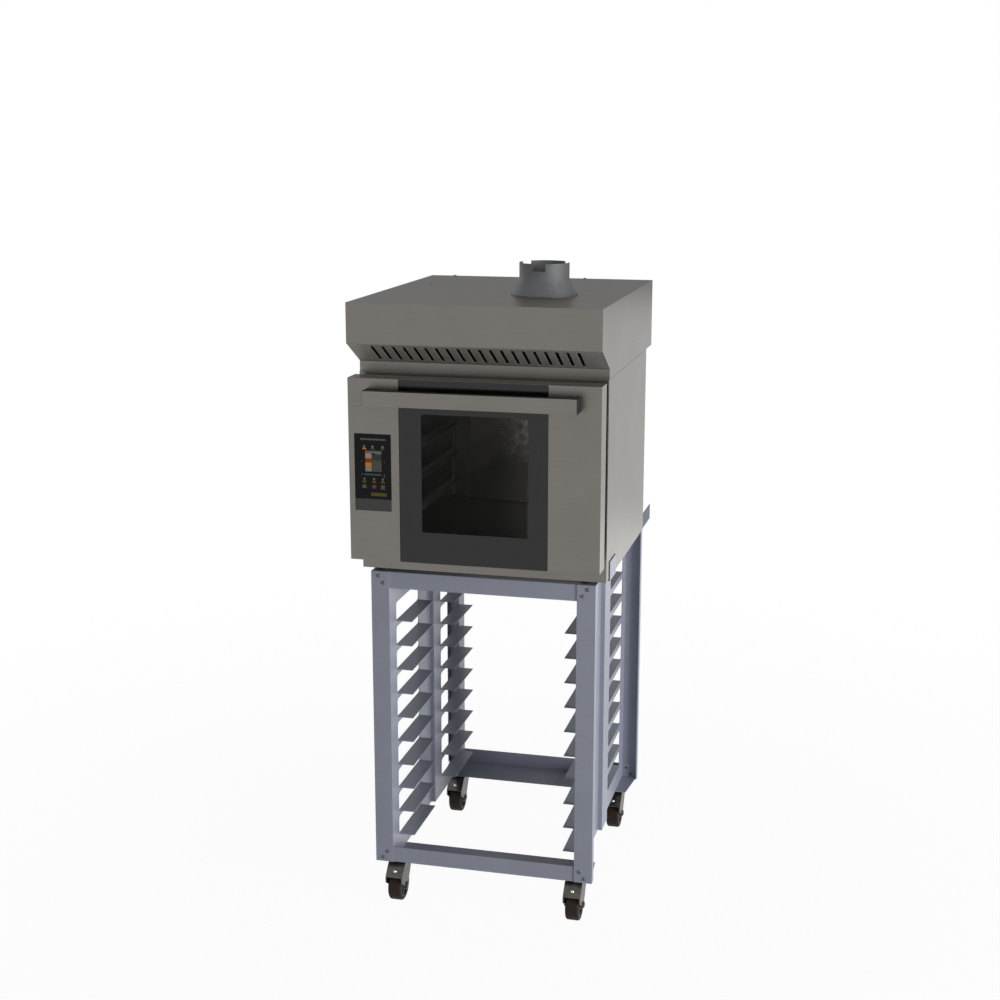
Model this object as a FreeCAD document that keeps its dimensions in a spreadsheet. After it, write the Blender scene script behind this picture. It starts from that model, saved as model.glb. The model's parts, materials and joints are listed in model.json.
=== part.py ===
"""Countertop convection oven with a ventless hood, on an open tray stand with four casters.

Millimetres. +Z is up, the front faces -Y and +X is to the right seen from the front.
The origin is on the floor, at the middle of the footprint.
"""
import FreeCAD, Part
import Sketcher
import os
import re

# Driving sizes, one spreadsheet row each

SIZES = {
    # stand
    "stand_width": 554, "stand_depth": 690, "stand_top": 872, "frame_bottom": 113,
    "stand_sheet": 2, "leg_width": 45, "leg_return": 20,
    "top_rail_height": 41, "bottom_rail_height": 40, "rail_flange": 30,
    "caster_flange": 117, "flange_taper": 12, "rail_clear": 0.3,
    "rib_half": 37, "rib_depth": 13,
    "ledge_first": 733, "ledge_pitch": 62.9, "ledge_depth": 40, "ledge_end_clear": 1,
    "window_near": 101, "window_far": 290, "window_height": 46, "window_corner": 9,
    "bracket_front": 48, "bracket_length": 76, "bracket_height": 48, "bracket_foot": 62,
    "bracket_clear": 0.5,
    # screws
    "screw_shank": 2.5, "screw_head": 4.5, "screw_head_height": 2.4, "screw_shank_length": 7,
    "screw_hole_clear": 0.1, "screw_out": 19, "screw_in": 31, "screw_low": 11, "screw_high": 28,
    # casters
    "caster_side": 228.5, "caster_fore": 284, "caster_trail": 30,
    "wheel_radius": 40, "wheel_width": 34, "wheel_edge": 5, "wheel_dish": 5, "wheel_dish_radius": 27,
    "wheel_hub_radius": 13, "axle_radius": 5, "axle_head": 8.5, "axle_head_height": 4,
    "fork_sheet": 3, "fork_gap": 2, "fork_crown": 4, "fork_half": 21, "fork_foot": 11,
    "guard_front": 41, "guard_rise": 19, "guard_face": 16, "guard_top": 14, "guard_gap": 3,
    "caster_plate": 64, "caster_plate_height": 3, "race_radius": 24, "race_height": 7, "race_clear": 0.4,
    "kingpin_radius": 6, "kingpin_head": 10, "kingpin_head_height": 4, "running_clear": 0.05,
    # oven body
    "oven_width": 600, "oven_depth": 538, "oven_height": 482, "oven_setback": 10,
    "foot_height": 6, "foot_radius": 15, "foot_inset": 20, "foot_side": 46, "skin": 1.5,
    "cavity_width": 400, "cavity_height": 350, "cavity_rise": 82, "cavity_depth": 475,
    "insulation_side": 45, "insulation_upright": 38,
    "frame_depth": 23, "frame_border": 30, "gasket_border": 18, "gasket_width": 9, "gasket_clear": 0.3,
    "rack_gap": 16, "rack_sheet": 1.5, "rack_web": 12, "rack_shelf": 17, "rack_bar": 4, "rack_bar_width": 10,
    "rack_front": 35, "rack_back_clear": 5, "rack_bar_inset": 12, "rack_end": 20, "rack_peg": 4,
    "rack_first": 55, "rack_pitch": 77.5,
    "baffle_gap": 62, "baffle_half": 140, "baffle_edge": 4, "baffle_spacer": 6,
    "spacer_side": 120, "spacer_upright": 130,
    "intake_hole": 10, "intake_inner": 30, "intake_outer": 56,
    "fan_radius": 95, "fan_depth": 33, "fan_back_clear": 12, "fan_blade": 2, "fan_hub": 15,
    "shaft_radius": 6, "shaft_hole": 9, "motor_radius": 45, "motor_length": 52, "motor_hole_clear": 3,
    "shaft_in_motor": 34, "element_radius": 118, "element_tube": 4, "element_lead": 18,
    "element_bushing": 6,
    "vent_side": 150, "vent_back": 180, "vent_radius": 21, "vent_wall": 1.5, "vent_rise": 38,
    "vent_clear": 0.2, "margin": 1,
    "gland_side": 85, "gland_rise": 40, "gland_radius": 13, "gland_bore": 7, "gland_length": 16,
    "gland_nut": 18, "gland_nut_height": 5,
    "spacer_length": 119, "spacer_height": 40, "spacer_flange": 38, "spacer_rise": 2,
    "louvre_width": 6, "louvre_height": 60, "louvre_pitch": 16, "louvre_rise": 30,
    # door
    "door_standoff": 31, "door_thick": 56.5, "door_height": 435, "sill_height": 43,
    "pan_inset": 16, "glass_side": 123, "glass_thick": 5, "glass_gap": 0.5,
    "window_side": 27, "window_bottom": 54, "window_top": 56,
    "inner_glass_lap": 14, "inner_glass_thick": 4,
    "hinge_inset": 9, "hinge_rise": 9, "hinge_plate": 4, "hinge_plate_gap": 2, "hinge_pin": 4,
    "hinge_below": 8, "hinge_above": 16, "hinge_pin_inner": 8,
    "handle_reach": 45, "handle_half": 252, "handle_drop": 58, "handle_height": 35, "handle_bar": 20,
    "handle_post": 20, "handle_corner": 2,
    "control_left": 14, "control_width": 89, "control_rise": 121, "control_height": 183,
    "control_thick": 3, "control_proud": 0.6, "control_clear": 0.3, "housing_inset": 6, "housing_lip": 5,
    "housing_depth": 26, "housing_wall": 2, "board_thick": 1.6, "board_clear": 1, "board_stand": 8,
    # hood
    "hood_depth": 712, "hood_overhang": 91, "hood_height": 170, "hood_face": 94,
    "chin_setback": 4, "chin_height": 23, "chin_clear": 0.4,
    "slot_width": 8, "slot_pitch": 25.6, "slot_front": 12, "slot_back": 10,
    "collar_x": 105, "collar_from_front": 281, "collar_radius": 60, "collar_height": 77, "collar_wall": 2,
    "collar_cone": 37, "collar_foot": 78, "collar_base": 80, "collar_base_height": 3,
    "notch_width": 31, "notch_depth": 17.5,
    "filter_from_front": 126, "filter_thick": 30, "filter_side": 2, "filter_rim": 12, "filter_slat": 14,
    "hood_fan_radius": 52, "hood_fan_depth": 38, "hood_fan_drop": 22, "hood_fan_hub": 14,
    "hood_shaft": 5, "hood_motor_radius": 40, "hood_motor_height": 80, "hood_shaft_in_motor": 30,
    "bump_left": 235, "bump_right": 121, "bump_front": 245, "bump_back": 8,
}

LEDGES = 10
SLOTS = 20
BLADES = 10
NOTCHES = 3
RACK_LEVELS = 4
SLATS = 14
LOUVRES = 12
INNER_HOLES = 7
OUTER_HOLES = 13

# Places worked out from the sizes

PLACES = {
    # front to back
    "handle_overhang": "door_standoff + door_thick + handle_reach - oven_setback",
    "stand_mid": "(handle_overhang - screw_head_height) / 2",
    "stand_front": "stand_mid - stand_depth / 2",
    "stand_back": "stand_mid + stand_depth / 2",
    "oven_front": "stand_front + oven_setback",
    "oven_back": "oven_front + oven_depth",
    "door_back": "oven_front - door_standoff",
    "door_front": "door_back - door_thick",
    "handle_front": "door_front - handle_reach",
    "hood_front": "oven_front - hood_overhang",
    "hood_back": "hood_front + hood_depth",
    "chin_front": "oven_front + chin_setback",
    "liner_back": "oven_front + cavity_depth",
    "baffle_back": "liner_back - baffle_gap",
    "rack_start": "oven_front + rack_front",
    "rack_stop": "baffle_back - skin - rack_back_clear",
    "hinge_y": "door_back - hinge_inset",
    "collar_y": "hood_front + collar_from_front",
    "vent_y": "oven_back - vent_back",
    "frame_front": "oven_front - frame_depth",
    "glass_back": "door_front + glass_thick",
    "panel_front": "door_front - control_proud",
    "panel_back": "panel_front + control_thick",
    "housing_back": "panel_back + housing_depth",
    "fan_back": "liner_back - fan_back_clear",
    "fan_front": "fan_back - fan_depth",
    "motor_front": "liner_back + skin",
    "filter_front": "hood_front + filter_from_front",
    # side to side
    "half_stand": "stand_width / 2",
    "panel_in": "half_stand - leg_width",
    "panel_out": "panel_in + stand_sheet",
    "rail_half": "half_stand - stand_sheet - rail_clear",
    "half_oven": "oven_width / 2",
    "half_inside": "half_oven - skin",
    "half_cavity": "cavity_width / 2",
    "half_liner": "half_cavity + skin",
    "pan_half": "half_oven - pan_inset",
    "glass_half": "half_oven - glass_side",
    "window_half": "glass_half - window_side",
    "control_x": "control_left - half_oven",
    "rack_out": "half_cavity - rack_gap",
    "rack_in": "rack_out - rack_shelf",
    "fork_in": "wheel_width / 2 + fork_gap",
    "fork_out": "fork_in + fork_sheet",
    # heights
    "oven_bottom": "stand_top + foot_height",
    "oven_top": "oven_bottom + oven_height",
    "door_bottom": "oven_bottom + sill_height",
    "door_top": "door_bottom + door_height",
    "cavity_bottom": "oven_bottom + cavity_rise",
    "cavity_top": "cavity_bottom + cavity_height",
    "fan_z": "cavity_bottom + cavity_height / 2",
    "hinge_z": "door_bottom + hinge_rise",
    "handle_top": "door_top - handle_drop + handle_height",
    "handle_bottom": "door_top - handle_drop",
    "control_bottom": "door_bottom + control_rise",
    "control_top": "control_bottom + control_height",
    "hood_top": "oven_top + hood_height",
    "lip_z": "hood_top - hood_face",
    "chin_top": "oven_top + chin_height",
    "slope": "(lip_z - chin_top) / (chin_front - hood_front)",
    "hood_floor_top": "oven_top + skin",
    "hood_fan_top": "hood_top - hood_fan_drop",
    "hood_fan_bottom": "hood_fan_top - hood_fan_depth",
    "hood_motor_top": "hood_floor_top + hood_motor_height",
    "collar_neck": "hood_top + collar_base_height + collar_cone",
    "collar_rim": "hood_top + collar_height",
    "plate_bottom": "frame_bottom - caster_plate_height",
    "race_top": "plate_bottom - race_clear",
    "crown_top": "race_top - race_height",
    "crown_bottom": "crown_top - fork_crown",
}

doc = FreeCAD.newDocument("convection_oven")
dims = doc.addObject("Spreadsheet::Sheet", "dims")
for row, (name, value) in enumerate(SIZES.items(), 1):
    dims.set(f"A{row}", name)
    dims.set(f"B{row}", str(value))
    dims.setAlias(f"B{row}", name)
doc.recompute()

NODES = []


def expand(text):
    """A formula in size and place names, as an expression on the spreadsheet."""
    def word(found):
        name = found.group()
        if name in PLACES:
            return "(" + expand(PLACES[name]) + ")"
        return "dims." + name if name in SIZES else name
    return re.sub(r"[A-Za-z_][A-Za-z_0-9]*", word, str(text))


def size(text):
    """The value of a formula, for what an expression can't be bound to."""
    return float(dims.evalExpression(expand(text)))


def bind(thing, **formulas):
    for prop, text in formulas.items():
        thing.setExpression(prop.replace("__", "."), expand(text))
    return thing


def place(thing, x, y, z):
    for axis, text in zip("xyz", (x, y, z)):
        thing.setExpression("Placement.Base." + axis, expand(text))
    return thing


def box(x, y, z):
    """A box from three (low, high) pairs of formulas."""
    thing = doc.addObject("Part::Box", "block")
    for prop, (low, high) in zip(("Length", "Width", "Height"), (x, y, z)):
        thing.setExpression(prop, expand(f"({high}) - ({low})"))
    return place(thing, x[0], y[0], z[0])


TURNS = {"x": ((0, 1, 0), 90), "y": ((1, 0, 0), -90), "z": ((0, 0, 1), 0)}


def spin(thing, axis, angle):
    thing.Placement = FreeCAD.Placement(FreeCAD.Vector(), FreeCAD.Rotation(FreeCAD.Vector(*axis), angle))


def turned(thing, axis, centre, low):
    """Lay a round primitive along an axis, from low, on a centre of two formulas."""
    spin(thing, *TURNS[axis])
    spot = list(centre)
    spot.insert("xyz".index(axis), low)
    return place(thing, *spot)


def rod(axis, centre, low, high, radius):
    thing = doc.addObject("Part::Cylinder", "rod")
    bind(thing, Radius=radius, Height=f"({high}) - ({low})")
    return turned(thing, axis, centre, low)


def cone(axis, centre, low, high, radius_low, radius_high):
    thing = doc.addObject("Part::Cone", "cone")
    bind(thing, Radius1=radius_low, Radius2=radius_high, Height=f"({high}) - ({low})")
    return turned(thing, axis, centre, low)


def fuse(*things):
    if len(things) == 1:
        return things[0]
    thing = doc.addObject("Part::MultiFuse", "joined")
    thing.Shapes = list(things)
    thing.Refine = True
    return thing


def cut(base, *tools):
    thing = doc.addObject("Part::Cut", "cut")
    thing.Base = base
    thing.Tool = fuse(*tools)
    thing.Refine = True
    return thing


def group(*things):
    thing = doc.addObject("Part::Compound", "group")
    thing.Links = list(things)
    return thing


def rounded(thing, axis, radius):
    """Round every edge of a plain block that runs along one axis."""
    doc.recompute()
    way = FreeCAD.Vector(*[float(axis == name) for name in "xyz"])
    edges = []
    for number, edge in enumerate(thing.Shape.Edges, 1):
        if abs(edge.tangentAt(edge.FirstParameter).dot(way)) > 0.999:
            edges.append((number, size(radius), size(radius)))
    fillet = doc.addObject("Part::Fillet", "rounded")
    fillet.Base = thing
    fillet.Edges = edges
    return fillet


def pad(label, plane, corners, depth, spot):
    """A sheet padded from an outline, whose corners are distances from its lower corner at spot."""
    body = doc.addObject("PartDesign::Body", label)
    sketch = body.newObject("Sketcher::SketchObject", label + "_outline")
    support = next(item for item in body.Origin.OriginFeatures if item.Role == plane)
    sketch.AttachmentSupport = [(support, "")]
    sketch.MapMode = "FlatFace"
    points = [FreeCAD.Vector(size(across), size(along), 0) for across, along in corners]
    for start, end in zip(points, points[1:] + points[:1]):
        sketch.addGeometry(Part.LineSegment(start, end))
    count = len(points)
    for number in range(count):
        sketch.addConstraint(Sketcher.Constraint("Coincident", number, 2, (number + 1) % count, 1))
    for number, pair in enumerate(corners):
        for kind, text, axis in zip(("DistanceX", "DistanceY"), pair, (-2, -1)):
            pin_corner(sketch, number, kind, text, axis)
    extrusion = body.newObject("PartDesign::Pad", label + "_pad")
    extrusion.Profile = sketch
    bind(extrusion, Length=depth)
    return place(body, *spot)


def pin_corner(sketch, number, kind, text, axis):
    """Hold a corner on the sketch's axis where its distance is nothing, and at its distance elsewhere."""
    if text == "0":
        sketch.addConstraint(Sketcher.Constraint("PointOnObject", number, 1, axis))
        return
    constraint = sketch.addConstraint(Sketcher.Constraint(kind, -1, 1, number, 1, size(text)))
    sketch.setExpression(f"Constraints[{constraint}]", expand(text))


def node(label, thing):
    thing.Label = label
    NODES.append(thing)
    return thing


def span(side, near, far):
    """The (low, high) pair across X for the right (1) or left (-1) side."""
    return (near, far) if side > 0 else (f"-({far})", f"-({near})")


def both(half):
    return (f"-({half})", half)


def around(centre, half):
    return (f"{centre} - ({half})", f"{centre} + ({half})")


SIDES = (("left", -1), ("right", 1))
ENDS = (("front", -1), ("rear", 1))


def inward(end, near, far):
    """The (low, high) pair along Y for distances in from the stand's front (-1) or rear (1) face."""
    if end < 0:
        return (f"stand_front + ({near})", f"stand_front + ({far})")
    return (f"stand_back - ({far})", f"stand_back - ({near})")


def beside(end, near, far):
    """The (low, high) pair along Y for distances from the stand's middle, to the front or the rear."""
    if end < 0:
        return (f"stand_mid - ({far})", f"stand_mid - ({near})")
    return (f"stand_mid + ({near})", f"stand_mid + ({far})")


# Stand

FRAME_Z = ("frame_bottom", "stand_top")
BEND_Z = ("frame_bottom + stand_sheet", "stand_top")


def screw_spots():
    """Side, end, x and z of every stand screw: two on each corner, one above and outside the other."""
    for _, side in SIDES:
        for _, end in ENDS:
            for across, along in (("screw_out", "screw_low"), ("screw_in", "screw_high")):
                x = f"{side} * (half_stand - {across})"
                yield side, end, x, f"frame_bottom + {along}"
                yield side, end, x, f"stand_top - {along}"


def screw_hole(end, x, z):
    along = inward(end, "-margin", "2 * stand_sheet + margin")
    return rod("y", (x, z), *along, "screw_shank + screw_hole_clear")


def rail_holes(end, height):
    """Screw holes of one rail, told apart by the height that its screws are measured from."""
    return [screw_hole(end, x, z) for _, where, x, z in screw_spots() if where == end and height in z]


def stand_side(side):
    """One folded sheet: side panel with its rib, two leg faces with their returns, and the top flange."""
    panel_x = span(side, "panel_in", "panel_out")
    leg_x = span(side, "panel_in", "half_stand")
    pieces = [box(panel_x, ("stand_front", "stand_back"), BEND_Z)]
    for _, end in ENDS:
        pieces.append(box(leg_x, inward(end, "0", "stand_sheet"), FRAME_Z))
        return_x = span(side, "half_stand - stand_sheet", "half_stand")
        pieces.append(box(return_x, inward(end, "0", "leg_return"), FRAME_Z))
    flange_inset = "2 * (stand_sheet + rail_clear)"
    flange_y = (f"stand_front + {flange_inset}", f"stand_back - {flange_inset}")
    pieces.append(box(leg_x, flange_y, ("stand_top - stand_sheet", "stand_top")))
    rib_z = ("frame_bottom + stand_sheet", "stand_top - stand_sheet")
    groove_y = around("stand_mid", "rib_half - stand_sheet")
    rib = cut(
        box(span(side, "panel_in", "panel_in + rib_depth"), around("stand_mid", "rib_half"), rib_z),
        box(span(side, "panel_in", "panel_in + rib_depth - stand_sheet"), groove_y, rib_z))
    holes = [box(panel_x, groove_y, rib_z)]
    for _, end in ENDS:
        slit_y = inward(end, "stand_sheet", "2 * stand_sheet + rail_clear")
        slit_x = span(side, "panel_in - margin", "panel_out")
        top_z = ("stand_top - top_rail_height - rail_clear", "stand_top + margin")
        bottom_z = ("frame_bottom", "frame_bottom + bottom_rail_height + rail_clear")
        holes.append(box(slit_x, slit_y, top_z))
        holes.append(box(slit_x, slit_y, bottom_z))
        for number in range(LEDGES):
            floor = f"ledge_first - {number} * ledge_pitch"
            window = box(span(side, "panel_in - margin", "panel_out + margin"),
                         beside(end, "window_near", "window_far"), (floor, f"{floor} + window_height"))
            holes.append(rounded(window, "x", "window_corner"))
    for where, end, x, z in screw_spots():
        if where == side:
            holes.append(screw_hole(end, x, z))
    return fuse(cut(fuse(*pieces), *holes), rib)


def ledges(side):
    """Tray ledges, bent in from the windows of one side panel."""
    flaps = []
    across = span(side, "panel_in - ledge_depth", "panel_in")
    for _, end in ENDS:
        along = beside(end, "window_near + ledge_end_clear", "window_far - ledge_end_clear")
        for number in range(LEDGES):
            top = f"ledge_first - {number} * ledge_pitch"
            flaps.append(box(across, along, (f"{top} - stand_sheet", top)))
    return group(*flaps)


def top_rail(end):
    web_z = ("stand_top - top_rail_height", "stand_top")
    web = box(both("rail_half"), inward(end, "stand_sheet", "2 * stand_sheet"), web_z)
    flange = box(both("panel_in - rail_clear"), inward(end, "stand_sheet", "stand_sheet + rail_flange"),
                 ("stand_top - stand_sheet", "stand_top"))
    return cut(fuse(web, flange), *rail_holes(end, "stand_top"))


def bottom_rail(end, name):
    """Web behind the leg faces, and a deep flange with tapered ends that carries two casters."""
    web_z = ("frame_bottom", "frame_bottom + bottom_rail_height")
    web = box(both("rail_half"), inward(end, "stand_sheet", "2 * stand_sheet"), web_z)
    deep = "caster_flange - stand_sheet"
    wide = ("0", "2 * rail_half")
    narrow = ("flange_taper", "2 * rail_half - flange_taper")
    near, far = (wide, narrow) if end < 0 else (narrow, wide)
    corners = [(near[0], "0"), (near[1], "0"), (far[1], deep), (far[0], deep)]
    start = inward(end, "stand_sheet", "caster_flange")[0]
    spot = ("-rail_half", start, "frame_bottom")
    flange = pad(name + "_flange", "XY_Plane", corners, "stand_sheet", spot)
    return cut(fuse(web, flange), *rail_holes(end, "frame_bottom"))


def locating_brackets():
    """Angle brackets on the stand's top flanges, which hold the oven from sliding sideways."""
    pieces = []
    for _, side in SIDES:
        along = inward(-1, "bracket_front", "bracket_front + bracket_length")
        near = "half_oven + bracket_clear"
        far = f"{near} + stand_sheet"
        tab = box(span(side, near, far), along, ("stand_top", "stand_top + bracket_height"))
        foot_z = ("stand_top", "stand_top + stand_sheet")
        foot = box(span(side, f"{near} - bracket_foot", far), along, foot_z)
        pieces.append(fuse(tab, foot))
    return group(*pieces)


def hood_bumps():
    """The places of the screws on the hood's top."""
    for x in ("-bump_left", "bump_right"):
        for back in ("bump_front", "bump_back"):
            yield x, f"hood_back - {back}"


def screws():
    """Pan-head screws: two on each stand corner, and four on the hood's top."""
    pieces = []
    for _, end, x, z in screw_spots():
        head = rod("y", (x, z), *inward(end, "-screw_head_height", "0"), "screw_head")
        shank = rod("y", (x, z), *inward(end, "-screw_head_height", "screw_shank_length"), "screw_shank")
        pieces.append(fuse(head, shank))
    for x, y in hood_bumps():
        top = "hood_top + screw_head_height"
        head = rod("z", (x, y), "hood_top", top, "screw_head")
        shank = rod("z", (x, y), "hood_top - screw_shank_length", top, "screw_shank")
        pieces.append(fuse(head, shank))
    return group(*pieces)


for name, side in SIDES:
    node("stand_side_" + name, stand_side(side))
    node("ledges_" + name, ledges(side))
for name, end in ENDS:
    node("top_rail_" + name, top_rail(end))
    node("bottom_rail_" + name, bottom_rail(end, "bottom_rail_" + name))
node("locating_brackets", locating_brackets())
node("screws", screws())

# Casters


def caster_places():
    for end_name, end in ENDS:
        for side_name, side in SIDES:
            yield f"{end_name}_{side_name}", f"{side} * caster_side", f"stand_mid + {end} * caster_fore"


def caster_plates():
    """Mounting plates with their kingpins, which the forks turn on."""
    pieces = []
    half = "caster_plate / 2"
    pin_bottom = "crown_bottom - race_clear - kingpin_head_height"
    for _, x, y in caster_places():
        plate = box(around(x, half), around(y, half), ("plate_bottom", "frame_bottom"))
        pin = rod("z", (x, y), pin_bottom, "plate_bottom", "kingpin_radius")
        head = rod("z", (x, y), pin_bottom, "crown_bottom - race_clear", "kingpin_head")
        pieces.append(fuse(plate, pin, head))
    return group(*pieces)


def caster_fork(name, x, y):
    """Fork: a raised race on a crown, cheeks that trail to the axle, and a guard over the wheel's front."""
    axle = f"{y} - caster_trail"
    centre = (axle, "wheel_radius")
    race = rod("z", (x, y), "crown_top", "race_top", "race_radius")
    tall = "crown_top - wheel_radius + fork_foot"
    corners = [("guard_front - fork_foot / 2", "0"), ("guard_front + fork_foot / 2", "0"),
               ("guard_front + fork_foot", "fork_foot"), ("guard_front + caster_trail + fork_half", tall),
               ("guard_front - guard_top", tall), ("0", "fork_foot + guard_rise + guard_face"),
               ("0", "fork_foot + guard_rise"), ("guard_front - fork_foot", "fork_foot")]
    spot = (f"{x} - fork_out", f"{axle} - guard_front", "wheel_radius - fork_foot")
    body = pad(name + "_body", "YZ_Plane", corners, "2 * fork_out", spot)
    between = around(x, "fork_in")
    wheel_room = rod("x", centre, *between, "wheel_radius + guard_gap")
    pin_room = box(between, (f"{axle} - guard_top + fork_sheet", f"{y} + fork_half + margin"),
                   ("wheel_radius - fork_foot - margin", "crown_bottom"))
    pin_z = ("crown_bottom - margin", "race_top + margin")
    pin_hole = rod("z", (x, y), *pin_z, "kingpin_radius + running_clear")
    axle_hole = rod("x", centre, *around(x, "fork_out + margin"), "axle_radius + running_clear")
    return cut(fuse(race, body), wheel_room, pin_room, pin_hole, axle_hole)


def caster_axle(x, y):
    """Axle bolt with a head and a nut of one size."""
    centre = (f"{y} - caster_trail", "wheel_radius")
    pieces = [rod("x", centre, *around(x, "fork_out + axle_head_height"), "axle_radius")]
    for low, high in ((f"{x} - fork_out - axle_head_height", f"{x} - fork_out"),
                      (f"{x} + fork_out", f"{x} + fork_out + axle_head_height")):
        pieces.append(rod("x", centre, low, high, "axle_head"))
    return fuse(*pieces)


def caster_wheel(x, y):
    """Wheel with bevelled edges, dished sides and a raised hub."""
    centre = (f"{y} - caster_trail", "wheel_radius")
    half = "wheel_width / 2"
    low, high = around(x, half)
    edge = "wheel_radius - wheel_edge"
    core = rod("x", centre, f"{low} + wheel_edge", f"{high} - wheel_edge", "wheel_radius")
    left = cone("x", centre, low, f"{low} + wheel_edge", edge, "wheel_radius")
    right = cone("x", centre, f"{high} - wheel_edge", high, "wheel_radius", edge)
    left_dish = rod("x", centre, f"{low} - margin", f"{low} + wheel_dish", "wheel_dish_radius")
    right_dish = rod("x", centre, f"{high} - wheel_dish", f"{high} + margin", "wheel_dish_radius")
    hub = rod("x", centre, low, high, "wheel_hub_radius")
    bore = rod("x", centre, f"{low} - margin", f"{high} + margin", "axle_radius + running_clear")
    return cut(fuse(cut(fuse(core, left, right), left_dish, right_dish), hub), bore)


node("caster_plates", caster_plates())
for name, x, y in caster_places():
    node("caster_fork_" + name, caster_fork("caster_fork_" + name, x, y))
    node("caster_axle_" + name, caster_axle(x, y))
    node("caster_wheel_" + name, caster_wheel(x, y))

# Oven body


FAN_AXIS = ("0", "fan_z")
VENT_AXIS = ("vent_side", "vent_y")
GLAND_AXIS = ("gland_side - half_oven", "oven_bottom + gland_rise")
CHAMBER_Z = ("cavity_bottom", "cavity_top")
LINER_Z = ("cavity_bottom - skin", "cavity_top + skin")


def border(outer, inner, y):
    """A frame round the chamber's mouth, between two distances out from the chamber's walls."""
    layers = []
    for out in (outer, inner):
        z = (f"cavity_bottom - ({out})", f"cavity_top + ({out})")
        layers.append(box(both(f"half_cavity + ({out})"), y, z))
    return cut(*layers)


def vent_hole(low, high):
    return rod("z", VENT_AXIS, low, high, "vent_radius + vent_clear")


def oven_casing():
    """Outer wrap: both sides and the top, folded from one sheet."""
    along = ("oven_front", "oven_back")
    top = box(both("half_oven"), along, ("oven_top - skin", "oven_top"))
    sides = []
    for _, side in SIDES:
        sides.append(box(span(side, "half_inside", "half_oven"), along, ("oven_bottom", "oven_top")))
    return cut(fuse(top, *sides), vent_hole("oven_top - skin - margin", "oven_top + margin"))


def oven_back():
    """Rear panel with cooling louvres and the cable gland's hole."""
    sheet = box(both("half_inside"), ("oven_back - skin", "oven_back"), ("oven_bottom", "oven_top - skin"))
    through = ("oven_back - skin - margin", "oven_back + margin")
    tools = [rod("y", GLAND_AXIS, *through, "gland_radius + running_clear")]
    for number in range(LOUVRES):
        middle = f"({number} - {(LOUVRES - 1) / 2}) * louvre_pitch"
        for base in ("oven_bottom + louvre_rise", "oven_top - louvre_rise - louvre_height"):
            height = (base, f"{base} + louvre_height")
            tools.append(box(around(middle, "louvre_width / 2"), through, height))
    return cut(sheet, *tools)


def front_panel():
    """Sheet behind the door, with the chamber's mouth cut out of it."""
    height = ("oven_bottom", "oven_top - skin")
    sheet = box(both("half_inside"), ("oven_front", "oven_front + skin"), height)
    through = ("oven_front - margin", "oven_front + skin + margin")
    return cut(sheet, box(both("half_liner"), through, LINER_Z))


def cavity_liner():
    """Baking chamber, open to the front, with a shaft hole behind the fan and a vent in its ceiling."""
    shell = cut(
        box(both("half_liner"), ("oven_front", "motor_front"), LINER_Z),
        box(both("half_cavity"), ("oven_front - margin", "liner_back"), CHAMBER_Z))
    shaft = rod("y", FAN_AXIS, "liner_back - margin", "motor_front + margin", "shaft_hole")
    vent = rod("z", VENT_AXIS, "cavity_top - margin", "cavity_top + skin + margin", "vent_radius")
    return cut(shell, shaft, vent)


def insulation():
    """Mineral-wool jacket round the liner."""
    low, high = LINER_Z
    back = "motor_front + insulation_upright"
    jacket = box(both("half_liner + insulation_side"), ("oven_front + skin", back),
                 (f"{low} - insulation_upright", f"{high} + insulation_upright"))
    inside = box(both("half_liner"), ("oven_front", "motor_front"), LINER_Z)
    motor = rod("y", FAN_AXIS, "liner_back", f"{back} + margin", "motor_radius + motor_hole_clear")
    return cut(jacket, inside, motor, vent_hole("cavity_top", f"{high} + insulation_upright + margin"))


def rack(side):
    """Tray rack: an angle rail per tray on two upright bars, and four pegs on the chamber's wall."""
    low, high = "cavity_bottom + rack_end", "cavity_top - rack_end"
    web_x = span(side, "rack_out - rack_sheet", "rack_out")
    bar_x = span(side, "rack_out - rack_sheet - rack_bar", "rack_out - rack_sheet")
    shelf_x = span(side, "rack_in", "rack_out")
    along = ("rack_start", "rack_stop")
    pieces = []
    for y in ("rack_start + rack_bar_inset", "rack_stop - rack_bar_inset"):
        pieces.append(box(bar_x, around(y, "rack_bar_width / 2"), (low, high)))
        for z in (f"{low} + rack_end", f"{high} - rack_end"):
            peg_x = span(side, "rack_out - rack_sheet - rack_bar", "half_cavity")
            pieces.append(rod("x", (y, z), *peg_x, "rack_peg"))
    for number in range(RACK_LEVELS):
        top = f"cavity_bottom + rack_first + {number} * rack_pitch"
        pieces.append(box(shelf_x, along, (f"{top} - rack_sheet", top)))
        pieces.append(box(web_x, along, (f"{top} - rack_sheet", f"{top} - rack_sheet + rack_web")))
    return fuse(*pieces)


def fan_baffle():
    """Air baffle with an intake grille in front of the fan, on four spacers."""
    sheet = box(both("baffle_half"), ("baffle_back - skin", "baffle_back"),
                ("cavity_bottom + baffle_edge", "cavity_top - baffle_edge"))
    spacers = []
    for _, side in SIDES:
        for up in (-1, 1):
            centre = (f"{side} * spacer_side", f"fan_z + {up} * spacer_upright")
            spacers.append(rod("y", centre, "baffle_back", "liner_back", "baffle_spacer"))
    through = ("baffle_back - skin - margin", "baffle_back + margin")
    holes = [rod("y", FAN_AXIS, *through, "intake_hole")]
    for radius, count in (("intake_inner", INNER_HOLES), ("intake_outer", OUTER_HOLES)):
        for number in range(count):
            turn = f"{number} * 360 / {count}"
            centre = (f"{radius} * cos({turn} * 1 deg)", f"fan_z + {radius} * sin({turn} * 1 deg)")
            holes.append(rod("y", centre, *through, "intake_hole"))
    return fuse(cut(sheet, *holes), *spacers)


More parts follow.
